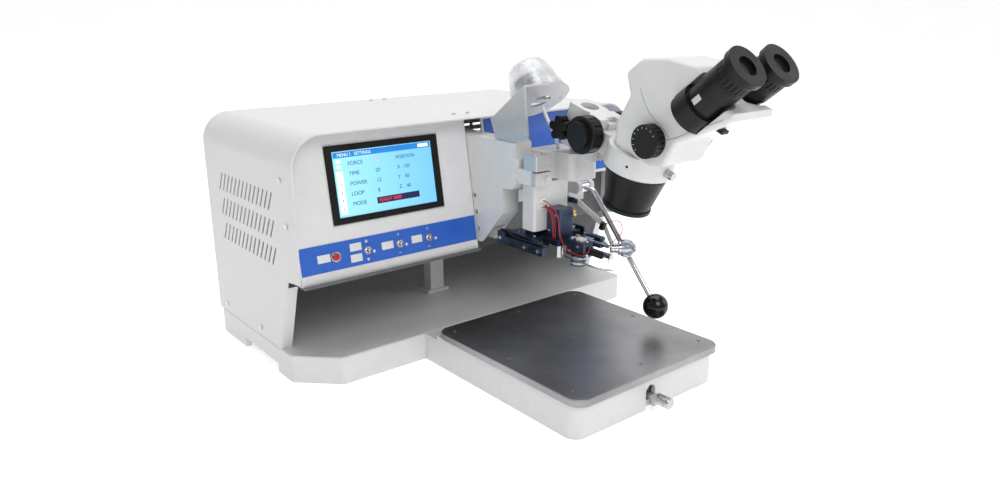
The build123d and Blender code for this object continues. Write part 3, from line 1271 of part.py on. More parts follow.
def make_scope_body():
    outline = make_face(Polyline(*SCOPE_PROFILE, close=True))
    profile = Plane.YZ.offset(SCOPE_X - SCOPE_HALF_WIDTH) * outline
    bends = [vertex for vertex in profile.vertices() if vertex.Y > SCOPE_LIP_Y]
    hull = extrude(fillet(bends, HULL_BEND_RADIUS), 2 * SCOPE_HALF_WIDTH)
    sides = hull.edges().group_by(Axis.X)
    hull = fillet(sides[0] + sides[-1], HULL_EDGE_RADIUS)
    hull -= extrude(scope_plane(0) * Rectangle(300, 300), RING_LOW + RING_HEIGHT + BODY_GAP)
    barrel = extrude(scope_plane(RING_LOW - 4) * Circle(RING_BORE / 2), RING_HEIGHT + 20)
    barrel -= extrude(scope_plane(RING_LOW - 5) * Circle(RING_BORE / 2 - 6), 8)
    body = hull + barrel
    for side in (-1, 1):
        x = SCOPE_X + side * EYE_SPACING / 2
        body -= extrude(eye_plane(x, EYE_TUBE_FOOT) * Circle(EYE_TUBE_DIAMETER / 2 + 5), 120)
    start, end = (SCOPE_X - 60, ZOOM_KNOB_Y, ZOOM_KNOB_Z), (SCOPE_X + 60, ZOOM_KNOB_Y, ZOOM_KNOB_Z)
    body -= rod(start, end, 8 + 2 * SHAFT_CLEARANCE)
    return body


def make_objective_cone():
    top = RING_LOW - 4
    lip = extrude(scope_plane(0) * Circle(CONE_FOOT_DIAMETER / 2 + 1.5), 5)
    foot = scope_plane(5) * Circle(CONE_FOOT_DIAMETER / 2)
    crown = scope_plane(top) * Circle(CONE_TOP_DIAMETER / 2)
    cone = loft([foot, crown])
    spigot = extrude(scope_plane(top - 0.5) * Circle(RING_BORE / 2 - 6 - 0.1), 3)
    body = lip + cone + spigot
    body -= extrude(scope_plane(-1) * Circle(CONE_FOOT_DIAMETER / 2 - 6), 5)
    return body


def make_eye_tube(side):
    x = SCOPE_X + side * EYE_SPACING / 2
    tube = extrude(eye_plane(x, EYE_TUBE_FOOT) * Circle(EYE_TUBE_DIAMETER / 2), EYE_TUBE_FOOT - 28)
    tube += extrude(eye_plane(x, EYE_TUBE_FOOT) * Circle(EYE_TUBE_DIAMETER / 2 + 4), 24)
    collar = extrude(eye_plane(x, 44) * Circle(EYE_TUBE_DIAMETER / 2 + 1.5), 18)
    body = tube + collar
    body -= extrude(eye_plane(x, 40) * Circle(15 + SHAFT_CLEARANCE), 30)
    return body


def make_eyepiece(side):
    x = SCOPE_X + side * EYE_SPACING / 2
    stem = extrude(eye_plane(x, 39) * Circle(15.0), 20)
    grip = extrude(eye_plane(x, 26 - BODY_GAP) * Circle(EYE_DIAMETER / 2 - 3), 19)
    for step in range(EYE_FLUTES):
        angle = radians(360 * step / EYE_FLUTES)
        flute = Pos((EYE_DIAMETER / 2 - 3) * cos(angle), (EYE_DIAMETER / 2 - 3) * sin(angle)) * Circle(1.2)
        grip -= extrude(eye_plane(x, 23) * flute, 10)
    cup = extrude(eye_plane(x, 8) * Circle(EYE_DIAMETER / 2), 8)
    body = stem + grip + cup
    body -= extrude(eye_plane(x, 5) * Circle(12.5), 8)
    return body


def make_zoom_knobs():
    y, z = ZOOM_KNOB_Y, ZOOM_KNOB_Z
    body = rod((SCOPE_X - 44, y, z), (SCOPE_X + 44, y, z), 8.0)
    for side in (-1, 1):
        inner = SCOPE_X + side * (SCOPE_HALF_WIDTH + BODY_GAP)
        body += fluted_knob(inner, inner + side * 16, y, z, ZOOM_KNOB_DIAMETER, 20, 1.2)
    return body


save("scope_post", make_scope_post())
save("focus_block", make_focus_block())
save("focus_knobs", make_focus_knobs())
save("star_knob", make_star_knob())
save("scope_ring", make_scope_ring())
save("ring_screw", make_ring_screw())
save("scope_body", make_scope_body())
save("objective_cone", make_objective_cone())
save("left_eye_tube", make_eye_tube(-1))
save("right_eye_tube", make_eye_tube(1))
save("left_eyepiece", make_eyepiece(-1))
save("right_eyepiece", make_eyepiece(1))
save("zoom_knobs", make_zoom_knobs())


# Manual lever with its bracket and ball


def make_lever_bracket():
    x, y, z = LEVER_X, LEVER_PIVOT_Y, LEVER_PIVOT_Z
    bar = block(x - 16, x + 16, y + 13, BULKHEAD_Y - SHEET, z - 24, z - 12)
    bar += block(x - 16, x + 16, y + 13, y + 20, z - 24, z + 9)
    for x0 in (x - 16.0, x + 8.0):
        ear = block(x0, x0 + 8, y - 9, y + 14, z - 9, z + 9)
        bar += fillet(ear.edges().filter_by(Axis.X).group_by(Axis.Y)[0], 7.0)
    bar += block(x - 30, x + 30, BULKHEAD_Y - SHEET - 5, BULKHEAD_Y - SHEET, z - 44, z - 8)
    bar -= rod((x - 20, y, z), (x + 20, y, z), 8 + 2 * SHAFT_CLEARANCE)
    return bar


def lever_reach():
    """Unit run from the lever's elbow to its ball, and the elbow itself."""
    elbow = Vector(LEVER_X, LEVER_ELBOW_Y, LEVER_ELBOW_Z)
    run = Vector(LEVER_X, LEVER_BALL_Y, LEVER_BALL_Z) - elbow
    return elbow, run


def make_lever():
    x, y, z = LEVER_X, LEVER_PIVOT_Y, LEVER_PIVOT_Z
    pin = rod((x - 16.5, y, z), (x + 16.5, y, z), 8.0)
    hub = rod((x - 7.7, y, z), (x + 7.7, y, z), 17.0)
    elbow, run = lever_reach()
    end = elbow + run * (1 - (LEVER_BALL_DIAMETER / 2 - 4) / run.length)
    path = FilletPolyline((x, y, z), tuple(elbow), tuple(end), radius=9.0)
    stem = sweep(Plane(origin=path @ 0, z_dir=path % 0) * Circle(LEVER_ROD_DIAMETER / 2), path)
    return pin + hub + stem


def make_lever_ball():
    ball = Pos(LEVER_X, LEVER_BALL_Y, LEVER_BALL_Z) * Sphere(LEVER_BALL_DIAMETER / 2)
    elbow, run = lever_reach()
    end = elbow + run * (1 - (LEVER_BALL_DIAMETER / 2 - 4.05) / run.length)
    start = elbow + run * (1 - (LEVER_BALL_DIAMETER + 2) / run.length)
    return ball - rod(tuple(start), tuple(end), LEVER_ROD_DIAMETER)


save("lever_bracket", make_lever_bracket())
save("lever", make_lever())
save("lever_ball", make_lever_ball())
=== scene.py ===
"""Finish and light of the bench-top wire bonder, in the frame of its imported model.

Metres, +Z up, the user at -Y. Every finish is a node material, made once and shared.
"""

import json
from math import cos, pi, radians, sin, tan

import bmesh
import bpy
from mathutils import Matrix, Vector


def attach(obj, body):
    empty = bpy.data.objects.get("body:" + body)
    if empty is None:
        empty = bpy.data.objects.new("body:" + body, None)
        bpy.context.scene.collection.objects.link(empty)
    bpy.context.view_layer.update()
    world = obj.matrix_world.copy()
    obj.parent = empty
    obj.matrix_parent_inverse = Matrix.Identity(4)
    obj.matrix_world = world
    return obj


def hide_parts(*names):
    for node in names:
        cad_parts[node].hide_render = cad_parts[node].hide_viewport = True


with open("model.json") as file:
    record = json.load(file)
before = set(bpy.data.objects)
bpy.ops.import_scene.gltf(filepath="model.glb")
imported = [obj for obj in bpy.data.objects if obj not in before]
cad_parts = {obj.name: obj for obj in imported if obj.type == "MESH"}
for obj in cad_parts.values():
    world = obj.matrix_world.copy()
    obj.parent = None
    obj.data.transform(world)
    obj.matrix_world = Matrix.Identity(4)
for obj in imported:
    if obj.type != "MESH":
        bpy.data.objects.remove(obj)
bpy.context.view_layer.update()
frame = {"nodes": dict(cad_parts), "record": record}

# Camera
CAMERA_PLACE = (-0.7241, -0.8500, 0.4985)
CAMERA_AIM = (0.6077, 0.7397, -0.2896)
CAMERA_LENS = 28.95

# The leaning control panel
PANEL_LEAN = radians(9.8)
PANEL_FOOT = (0.0643, 0.152)
SCREEN_CENTRE = (-0.157, 0.274)
SCREEN_SIZE = (0.156, 0.087)
SCREEN_OUT = 0.0004
STRIP_OUT = 0.0008
INK_DEPTH = 0.00012

# Cord routes, the points of the solid cords
WIRE_TUBE_DIAMETER = 0.005
WIRE_TUBE_ROUTE = [
    (0.046, -0.007, 0.364),
    (0.047, -0.017, 0.345),
    (0.050, -0.031, 0.326),
    (0.050, -0.036, 0.3089),
]
WIRE_DIAMETER = 0.0016
HEAD_WIRE_ROUTE = [
    (0.014, -0.044, 0.232),
    (0.014, -0.058, 0.232),
    (0.0175, -0.064, 0.214),
    (0.0175, -0.064, 0.189),
]
HEAD_WIRE_SHIFT = (0.0025, -0.0015, 0.0)

# Microscope axis, eye tubes and zoom shaft
SCOPE_FOOT = (0.060, -0.158, 0.247)
SCOPE_TILT = radians(17.0)
EYE_END = (-0.346, 0.439)
EYE_ANGLE = radians(51.0)
EYE_XS = (0.028, 0.092)
ZOOM_SHAFT = (-0.228, 0.346)
ZOOM_DIAL_X = 0.0057
ZOOM_DIAL_RADIUS = 0.0165
RING_PLUG_HEIGHT = 0.070
RING_PLUG_RADIUS = 0.0449

# Rim round the display, outside the bezel
RIM_HALF_WIDTH = 0.0892
RIM_HALF_HEIGHT = 0.0530
RIM_BAR = 0.0009
RIM_HEIGHT = 0.0012

# Lamp of the bond head
STRIP_X = 0.072
STRIP_TOP = Vector((STRIP_X, -0.052, 0.233))
STRIP_END = Vector((STRIP_X, -0.108, 0.208))
STRIP_HALF_WIDTH = 0.004
STRIP_DEPTH = 0.003
LAMP_HEEL = (0.070, -0.124, 0.179)
LAMP_AIM = (0.77, -0.63, 0.0)

# Backdrop: depth of the flat floor, radius of its bend and the turn that faces the camera
FLOOR_DEPTH = 4.0
BEND_RADIUS = 5.0
BEND_STEPS = 24
BACKDROP_HALF_WIDTH = 16.0
BACKDROP_TURN = radians(-39.4)


def new_material(name):
    """Node material, its tree, its shader and its object-space coordinates."""
    material = bpy.data.materials.new(name)
    material.use_nodes = True
    tree = material.node_tree
    tree.nodes.clear()
    out = tree.nodes.new("ShaderNodeOutputMaterial")
    shader = tree.nodes.new("ShaderNodeBsdfPrincipled")
    place = tree.nodes.new("ShaderNodeTexCoord")
    tree.links.new(shader.outputs["BSDF"], out.inputs["Surface"])
    return material, tree, shader, place


def noise(tree, place, scale, detail=4.0, stretch=(1.0, 1.0, 1.0)):
    """Noise over object space, stretched along the axes."""
    mapping = tree.nodes.new("ShaderNodeMapping")
    mapping.inputs["Scale"].default_value = stretch
    texture = tree.nodes.new("ShaderNodeTexNoise")
    texture.inputs["Scale"].default_value = scale
    texture.inputs["Detail"].default_value = detail
    tree.links.new(place.outputs["Object"], mapping.inputs["Vector"])
    tree.links.new(mapping.outputs["Vector"], texture.inputs["Vector"])
    return texture.outputs["Fac"]


def ramp(tree, source, low, high, start=0.3, end=0.7):
    """Two-colour ramp over a value."""
    node = tree.nodes.new("ShaderNodeValToRGB")
    node.color_ramp.elements[0].position = start
    node.color_ramp.elements[1].position = end
    node.color_ramp.elements[0].color = low
    node.color_ramp.elements[1].color = high
    tree.links.new(source, node.inputs["Fac"])
    return node.outputs["Color"]


def grey(value):
    return (value, value, value, 1.0)


def shade(color, factor):
    return tuple(min(1.0, part * factor) for part in color[:3]) + (1.0,)


def bump(tree, shader, source, strength, distance):
    node = tree.nodes.new("ShaderNodeBump")
    node.inputs["Strength"].default_value = strength
    node.inputs["Distance"].default_value = distance
    tree.links.new(source, node.inputs["Height"])
    tree.links.new(node.outputs["Normal"], shader.inputs["Normal"])
    return node


def soften_edges(tree, node, radius):
    """Round the sharp edges that a light catches."""
    edge = tree.nodes.new("ShaderNodeBevel")
    edge.samples = 4
    edge.inputs["Radius"].default_value = radius
    tree.links.new(edge.outputs["Normal"], node.inputs["Normal"])


def surface(
    name,
    color,
    rough,
    metallic=0.0,
    spread=0.06,
    rough_spread=0.08,
    scale=60.0,
    grain=900.0,
    grain_strength=0.15,
    grain_depth=0.0002,
    stretch=(1.0, 1.0, 1.0),
    coat=0.0,
    transmission=0.0,
    alpha=1.0,
    edge=0.0,
    shine=0.5,
):
    """Finish with broad colour and gloss variation and a fine grain."""
    material, tree, shader, place = new_material(name)
    broad = noise(tree, place, scale, 5.0, stretch)
    tint = ramp(tree, broad, shade(color, 1 - spread), shade(color, 1 + spread))
    tree.links.new(tint, shader.inputs["Base Color"])
    gloss = ramp(tree, broad, grey(max(0.02, rough - rough_spread)), grey(min(1.0, rough + rough_spread)))
    tree.links.new(gloss, shader.inputs["Roughness"])
    relief = bump(tree, shader, noise(tree, place, grain, 3.0, stretch), grain_strength, grain_depth)
    if edge:
        soften_edges(tree, relief, edge)
    shader.inputs["Metallic"].default_value = metallic
    shader.inputs["Coat Weight"].default_value = coat
    shader.inputs["Transmission Weight"].default_value = transmission
    shader.inputs["Alpha"].default_value = alpha
    shader.inputs["Specular IOR Level"].default_value = shine
    return material


def ground_steel(name):
    """Surface-ground steel: fine straight lines along X with soft cloudy wear."""
    material, tree, shader, place = new_material(name)
    lines = noise(tree, place, 12.0, 8.0, (4.0, 160.0, 160.0))
    cloud = noise(tree, place, 14.0, 4.0)
    tint = ramp(tree, cloud, (0.26, 0.26, 0.265, 1), (0.37, 0.37, 0.38, 1))
    tree.links.new(tint, shader.inputs["Base Color"])
    gloss = ramp(tree, lines, grey(0.26), grey(0.44))
    tree.links.new(gloss, shader.inputs["Roughness"])
    relief = bump(tree, shader, lines, 0.12, 0.0001)
    soften_edges(tree, relief, 0.0006)
    shader.inputs["Metallic"].default_value = 1.0
    return material


def lit_panel(name, color, strength, spread=0.04):
    """Part of the lit display: glowing colour under a glossy face."""
    material, tree, shader, place = new_material(name)
    cloud = noise(tree, place, 45.0, 3.0)
    tint = ramp(tree, cloud, shade(color, 1 - spread), shade(color, 1 + spread))
    tree.links.new(tint, shader.inputs["Base Color"])
    tree.links.new(tint, shader.inputs["Emission Color"])
    shader.inputs["Emission Strength"].default_value = strength
    shader.inputs["Roughness"].default_value = 0.25
    return material


def lit_field(name):
    """Background of the lit display, pale cyan on the left and sky blue on the right."""
    material, tree, shader, place = new_material(name)
    split = tree.nodes.new("ShaderNodeSeparateXYZ")
    tree.links.new(place.outputs["Object"], split.inputs["Vector"])
    reach = tree.nodes.new("ShaderNodeMapRange")
    reach.inputs["From Min"].default_value = SCREEN_CENTRE[0] - SCREEN_SIZE[0] / 2
    reach.inputs["From Max"].default_value = SCREEN_CENTRE[0] + SCREEN_SIZE[0] / 2
    tree.links.new(split.outputs["X"], reach.inputs["Value"])
    tint = ramp(tree, reach.outputs["Result"], (0.30, 0.68, 0.78, 1), (0.17, 0.50, 0.78, 1), 0.0, 1.0)
    tree.links.new(tint, shader.inputs["Base Color"])
    tree.links.new(tint, shader.inputs["Emission Color"])
    shader.inputs["Emission Strength"].default_value = 0.45
    shader.inputs["Roughness"].default_value = 0.25
    return material


def make_finishes():
    """One material for every material slot of the record, and two for the trim."""
    return {
        "white_casting": surface(
            "white_casting", (0.66, 0.66, 0.66), 0.40, spread=0.03, grain=700.0, coat=0.1, edge=0.0012
        ),
        "white_sheet": surface(
            "white_sheet",
            (0.67, 0.67, 0.675),
            0.42,
            spread=0.025,
            grain=1100.0,
            grain_strength=0.2,
            edge=0.0008,
        ),
        # Painted shade: the dark grey of this sheet stands in for the shadow of the recess behind the bond
        # head, on the inner bulkhead and the cabinet floor.
        "dark_sheet": surface("dark_sheet", (0.10, 0.105, 0.11), 0.5, spread=0.1),
        "blue_panel": surface(
            "blue_panel", (0.014, 0.105, 0.50), 0.33, spread=0.015, rough_spread=0.03, grain=1500.0, coat=0.2
        ),
        "black_rubber": surface("black_rubber", (0.01, 0.01, 0.01), 0.75, spread=0.2, shine=0.3),
        "black_plastic": surface(
            "black_plastic", (0.006, 0.006, 0.0065), 0.36, spread=0.2, grain=1400.0, edge=0.0008, shine=0.25
        ),
        "black_gloss": surface(
            "black_gloss", (0.004, 0.004, 0.007), 0.08, spread=0.2, grain_strength=0.02, coat=0.2, shine=0.3
        ),
        "red_plastic": surface("red_plastic", (0.42, 0.015, 0.012), 0.25, spread=0.06, grain_strength=0.05),
        "display_glass": lit_field("display_glass"),
        "ground_steel": ground_steel("ground_steel"),
        "turned_steel": surface(
            "turned_steel",
            (0.52, 0.53, 0.55),
            0.26,
            metallic=1.0,
            spread=0.08,
            grain=500.0,
            stretch=(1.0, 6.0, 1.0),
            edge=0.0005,
        ),
        "chrome_screw": surface("chrome_screw", (0.62, 0.62, 0.64), 0.18, metallic=1.0, grain_strength=0.05),
        "chrome_rod": surface(
            "chrome_rod", (0.70, 0.70, 0.72), 0.09, metallic=1.0, rough_spread=0.03, grain_strength=0.02
        ),
        "cast_aluminium": surface(
            "cast_aluminium",
            (0.60, 0.60, 0.60),
            0.46,
            metallic=0.75,
            grain=400.0,
            stretch=(1.0, 1.0, 5.0),
            edge=0.0005,
        ),
        "dark_anodised": surface(
            "dark_anodised", (0.05, 0.07, 0.115), 0.32, metallic=0.85, spread=0.15, edge=0.0005
        ),
        "brass": surface("brass", (0.60, 0.42, 0.16), 0.22, metallic=1.0, grain_strength=0.05),
        "ceramic": surface("ceramic", (0.85, 0.82, 0.75), 0.2, grain_strength=0.03),
        "frosted_cover": surface(
            "frosted_cover", (0.90, 0.91, 0.93), 0.22, spread=0.02, transmission=0.92, grain=600.0, alpha=0.55
        ),
        "white_tube": surface("white_tube", (0.78, 0.78, 0.76), 0.3, spread=0.03, grain_strength=0.05),
        "red_wire": surface("red_wire", (0.42, 0.015, 0.015), 0.35, spread=0.08, grain_strength=0.05),
        # Dark grey of the seams, also used for the painted shade lines along the creases of the microscope
        # body.
        "seam_grey": surface("seam_grey", (0.16, 0.16, 0.16), 0.6),
        "lamp_glass": surface(
            "lamp_glass",
            (0.80, 0.88, 0.96),
            0.06,
            spread=0.03,
            rough_spread=0.03,
            grain_strength=0.02,
            transmission=0.9,
        ),
    }


def dress_nodes():
    """Give every CAD node the finish of its material slot."""
    for row in frame["record"]["subparts"]:
        node = frame["nodes"][row["node"]]
        node.data.materials.clear()
        node.data.materials.append(finishes[row["material_slot"]])


def make_camera():
    data = bpy.data.cameras.new("camera")
    data.lens = CAMERA_LENS
    data.sensor_width = 36.0
    camera = bpy.data.objects.new("camera", data)
    camera.location = CAMERA_PLACE
    camera.rotation_euler = Vector(CAMERA_AIM).to_track_quat("-Z", "Y").to_euler()
    bpy.context.scene.collection.objects.link(camera)
    scene = bpy.context.scene
    scene.camera = camera
    scene.render.resolution_x = 1000
    scene.render.resolution_y = 500
    scene.view_settings.view_transform = "Standard"


def place_piece(name, data, matrix, slot, body, material=None):
    """Put a piece in the scene with its finish, which is the finish of its slot unless one is given, and the
    body that carries it.
    """
    piece = bpy.data.objects.new(name, data)
    piece.matrix_world = matrix
    bpy.context.scene.collection.objects.link(piece)
    data.materials.append(material or finishes[slot])
    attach(piece, body)
    return piece


def aimed(place, axis, side=(1.0, 0.0, 0.0)):
    """Frame at a place whose Z is the axis and whose X is near the side direction."""
    up = Vector(axis).normalized()
    across = (Vector(side) - up * Vector(side).dot(up)).normalized()
    return Matrix.Translation(place) @ Matrix((across, up.cross(across), up)).transposed().to_4x4()


def baked(name, work, smooth=False):
    """Mesh of a finished bmesh."""
    mesh = bpy.data.meshes.new(name)
    work.to_mesh(mesh)
    work.free()
    for polygon in mesh.polygons:
        polygon.use_smooth = smooth
    return mesh


def slab(name, corners, depth, matrix, slot, body="frame", material=None, edge=0.0):
    """Plate with an outline of (x, y) corners in a local frame, its edges rounded."""
    work = bmesh.new()
    face = work.faces.new([work.verts.new((x, y, 0.0)) for x, y in corners])
    raised = bmesh.ops.extrude_face_region(work, geom=[face])
    tops = [item for item in raised["geom"] if isinstance(item, bmesh.types.BMVert)]
    bmesh.ops.translate(work, verts=tops, vec=(0.0, 0.0, depth))
    bmesh.ops.recalc_face_normals(work, faces=work.faces)
    if edge:
        bmesh.ops.bevel(work, geom=list(work.edges), offset=edge, segments=2, affect="EDGES", profile=0.5)
    return place_piece(name, baked(name, work), matrix, slot, body, material)


def turned(name, profile, matrix, slot, body="frame", material=None, sides=40):
    """Turned piece: (radius, height) points spun about the local Z."""
    work = bmesh.new()
    rings = []
    for radius, height in profile:
        if radius == 0:
            rings.append([work.verts.new((0.0, 0.0, height))])
            continue
        turns = [2 * pi * step / sides for step in range(sides)]
        rings.append([work.verts.new((radius * cos(turn), radius * sin(turn), height)) for turn in turns])
    for low, high in zip(rings, rings[1:]):
        for step in range(sides):
            after = (step + 1) % sides
            if len(low) == 1:
                work.faces.new((low[0], high[after], high[step]))
            elif len(high) == 1:
                work.faces.new((low[step], low[after], high[0]))
            else:
                work.faces.new((low[step], low[after], high[after], high[step]))
    bmesh.ops.recalc_face_normals(work, faces=work.faces)
    mesh = baked(name, work, smooth=True)
    mesh.set_sharp_from_angle(angle=radians(35))
    return place_piece(name, mesh, matrix, slot, body, material)


def disc(name, radius, depth, matrix, slot, body="frame", material=None, edge=0.0002, sides=40):
    """Round plate or pin from the local origin up Z, with a small chamfer."""
    profile = [(0, 0), (radius, 0), (radius, depth - edge), (radius - edge, depth), (0, depth)]
    return turned(name, profile, matrix, slot, body, material, sides)


def pin(name, start, end, radius, slot, body, material=None):
    """Round bar between two points."""
    run = Vector(end) - Vector(start)
    side = (1.0, 0.0, 0.0) if abs(run.x) < 0.9 * run.length else (0.0, 1.0, 0.0)
    return disc(name, radius, run.length, aimed(start, run, side), slot, body, material)


def socket_screw(name, matrix, radius, body):
    """Cap screw head with its hexagon socket."""
    work = bmesh.new()
    sides, hexagon, chamfer = 24, 6, 0.0002
    height, depth, socket = radius * 0.9, radius * 0.6, radius * 0.55
    turns = [2 * pi * step / sides for step in range(sides)]
    rings = [
        (radius, 0.0, 0),
        (radius, height - chamfer, 0),
        (radius - chamfer, height, 0),
        (socket, height, hexagon),
        (socket, height - depth, hexagon),
    ]
    loops = []
    for size, level, corners in rings:
        points = []
        for turn in turns:
            reach = size
            if corners:
                sector = pi / corners
                reach = size * cos(sector) / cos((turn + sector) % (2 * sector) - sector)
            points.append(work.verts.new((reach * cos(turn), reach * sin(turn), level)))
        loops.append(points)
    for low, high in zip(loops, loops[1:]):
        for step in range(sides):
            after = (step + 1) % sides
            work.faces.new((low[step], low[after], high[after], high[step]))
    work.faces.new(loops[0])
    work.faces.new(loops[-1])
    bmesh.ops.recalc_face_normals(work, faces=work.faces)
    return place_piece(name, baked(name, work), matrix, "chrome_screw", body)


def smooth_curve(name, points, radius, roundness, steps=12):
    """Round line on a smooth curve through its end points, steered by the points between."""
    curve = bpy.data.curves.new(name, "CURVE")
    curve.dimensions = "3D"
    curve.bevel_depth = radius
    curve.bevel_resolution = roundness
    curve.resolution_u = steps
    spline = curve.splines.new("NURBS")
    spline.points.add(len(points) - 1)
    for point, place in zip(spline.points, points):
        point.co = (*place, 1.0)
    spline.order_u = 3
    spline.use_endpoint_u = True
    return curve


def cord_curve(name, points, diameter, slot, body):
    """Cord on a smooth curve whose control points are the route, its ends capped."""
    curve = smooth_curve(name, points, diameter / 2, 6, 16)
    curve.use_fill_caps = True
    return place_piece(name, curve, Matrix.Identity(4), slot, body)


def make_cords():
    """Wire tube under the spool, and the pair of wires down the front of the bond head."""
    tube = cord_curve("wire_tube_run", WIRE_TUBE_ROUTE, WIRE_TUBE_DIAMETER, "white_tube", "frame")
    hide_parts("wire_tube")
    second = [tuple(a + b for a, b in zip(point, HEAD_WIRE_SHIFT)) for point in HEAD_WIRE_ROUTE]
    second[0] = (second[0][0], HEAD_WIRE_ROUTE[0][1], second[0][2])
    for number, route in enumerate((HEAD_WIRE_ROUTE, second), 1):
        wire = cord_curve(f"head_wire_{number}", route, WIRE_DIAMETER, "red_wire", "bond_head")
        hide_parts("head_wires")


def panel_matrix(x, z, out):
    """Frame on the control panel: X right, Y up the panel, Z out towards the user."""
    y = PANEL_FOOT[0] + (z - PANEL_FOOT[1]) * tan(PANEL_LEAN)
    outward = Vector((0.0, -cos(PANEL_LEAN), sin(PANEL_LEAN)))
    return aimed(Vector((x, y, z)) + outward * out, outward)


def rectangle(x0, x1, y0, y1):
    return [(x0, y0), (x1, y0), (x1, y1), (x0, y1)]


def label(name, words, height, matrix, material, slot, align="CENTER"):
    """Printed lettering, a hair thick."""
    curve = bpy.data.curves.new(name, "FONT")
    curve.body = words
    curve.size = height
    curve.extrude = INK_DEPTH / 2
    curve.align_x = align
    curve.align_y = "CENTER"
    return place_piece(name, curve, matrix, slot, "frame", material)


def make_screen():
    """Menu on the lit display: title bar, key column, two columns of text and a status bar."""
    width, height = SCREEN_SIZE
    matrix = panel_matrix(*SCREEN_CENTRE, SCREEN_OUT)
    blue = lit_panel("title_blue", (0.02, 0.22, 0.62), 0.35)
    white = lit_panel("column_white", (0.80, 0.88, 0.92), 0.4)
    dark = lit_panel("status_dark", (0.015, 0.02, 0.09), 0.1)
    red = lit_panel("status_red", (0.80, 0.03, 0.02), 0.6)
    ink = lit_panel("menu_ink", (0.02, 0.10, 0.30), 0.05)
    pink = lit_panel("value_pink", (0.80, 0.45, 0.60), 0.4)

    def area(name, x0, x1, y0, y1, material, level=1):
        """Area of the screen by shares of its width and height, from its lower left corner."""
        left, right = (x0 - 0.5) * width, (x1 - 0.5) * width
        low, high = (y0 - 0.5) * height, (y1 - 0.5) * height
        corners = rectangle(left, right, low, high)
        slab(name, corners, INK_DEPTH * level, matrix, "display_glass", material=material)

    def text(name, words, x, y, letters, material, align="LEFT"):
        """Lettering that starts, or has its middle, at a share of the width and height."""
        spot = ((x - 0.5) * width, (y - 0.5) * height, INK_DEPTH * 1.5)
        place = matrix @ Matrix.Translation(spot)
        label(name, words, letters, place, material, "display_glass", align)

    area("screen_title", 0.01, 0.99, 0.90, 0.985, blue)
    area("screen_title_key", 0.86, 0.97, 0.915, 0.97, white, 2)
    text("screen_heading", "MENU 1   SETTINGS", 0.05, 0.94, 0.0058, white)
    area("screen_column", 0.02, 0.085, 0.04, 0.70, white)
    area("screen_key_top", 0.03, 0.075, 0.82, 0.87, white)
    area("screen_key_low", 0.03, 0.075, 0.74, 0.79, white)
    for number in range(5):
        text(f"screen_key_{number + 1}", str(number + 1), 0.052, 0.62 - number * 0.125, 0.0055, ink, "CENTER")
    levels = [0.80 - number * 0.155 for number in range(5)]
    left_rows = [("FORCE", "35"), ("TIME", "20"), ("POWER", "12"), ("LOOP", "8"), ("MODE", "")]
    for number, (words, value) in enumerate(left_rows):
        text(f"screen_left_{number + 1}", words, 0.14, levels[number], 0.0074, ink)
        if value:
            color = pink if number == 0 else ink
            text(f"screen_value_{number + 1}", value, 0.40, levels[number], 0.0074, color)
    for number, words in enumerate(["POSITION", "X   120", "Y    85", "Z    40"]):
        text(f"screen_right_{number + 1}", words, 0.62, levels[number], 0.0068, ink)
    area("screen_status", 0.38, 0.82, 0.125, 0.225, dark)
    text("screen_alert", "READY 0000", 0.40, 0.175, 0.0066, red)


def make_panel_marks():
    """White rim round the display, and bare plates and signs beside the controls."""
    half_w, half_h = RIM_HALF_WIDTH, RIM_HALF_HEIGHT
    bars = [
        rectangle(-half_w - RIM_BAR, half_w + RIM_BAR, half_h, half_h + RIM_BAR),
        rectangle(-half_w - RIM_BAR, half_w + RIM_BAR, -half_h - RIM_BAR, -half_h),
        rectangle(-half_w - RIM_BAR, -half_w, -half_h, half_h),
        rectangle(half_w, half_w + RIM_BAR, -half_h, half_h),
    ]
    for number, bar in enumerate(bars, 1):
        slab(f"display_rim_{number}", bar, RIM_HEIGHT, panel_matrix(*SCREEN_CENTRE, 0.0), "white_sheet")
    tag_plates = [
        (-0.2664, 0.1833, 0.0185),
        (-0.2185, 0.1905, 0.0175),
        (-0.2190, 0.1758, 0.0175),
        (-0.1695, 0.1839, 0.0185),
        (-0.1212, 0.1843, 0.0175),
    ]
    height = 0.0105
    for number, (x, z, width) in enumerate(tag_plates, 1):
        corners = rectangle(-width / 2, width / 2, -height / 2, height / 2)
        slab(f"tag_plate_{number}", corners, 0.0003, panel_matrix(x, z, STRIP_OUT), "white_sheet")
    arrow = [(-0.0026, -0.0018), (0.0026, -0.0018), (0.0, 0.0026)]
    above_z, below_z = 0.1955, 0.1705
    slab("arrow_up", arrow, INK_DEPTH, panel_matrix(-0.2015, above_z, STRIP_OUT), "white_sheet")
    below = [(x, -y) for x, y in reversed(arrow)]
    slab("arrow_down", below, INK_DEPTH, panel_matrix(-0.2015, below_z, STRIP_OUT), "white_sheet")
    bar = rectangle(-0.0022, 0.0022, -0.0004, 0.0004)
    for number, x in enumerate((-0.1505, -0.1018), 1):
        place = panel_matrix(x, above_z, STRIP_OUT + INK_DEPTH / 2)
        label(f"plus_sign_{number}", "+", 0.0080, place, finishes["white_sheet"], "white_sheet")
        slab(f"minus_sign_{number}", bar, INK_DEPTH, panel_matrix(x, below_z, STRIP_OUT), "white_sheet")


def scope_point(along, back, x=SCOPE_FOOT[0]):
    """Point by its distance up the microscope axis and behind it."""
    axis = Vector((0.0, -sin(SCOPE_TILT), cos(SCOPE_TILT)))
    rearward = Vector((0.0, cos(SCOPE_TILT), sin(SCOPE_TILT)))
    return Vector((x, SCOPE_FOOT[1], SCOPE_FOOT[2])) + axis * along + rearward * back


def eye_matrix(x, inward):
    """Frame on an eye tube, looking out at the eye."""
    axis = Vector((0.0, -sin(EYE_ANGLE), cos(EYE_ANGLE)))
    return aimed(Vector((x, *EYE_END)) - axis * inward, axis)


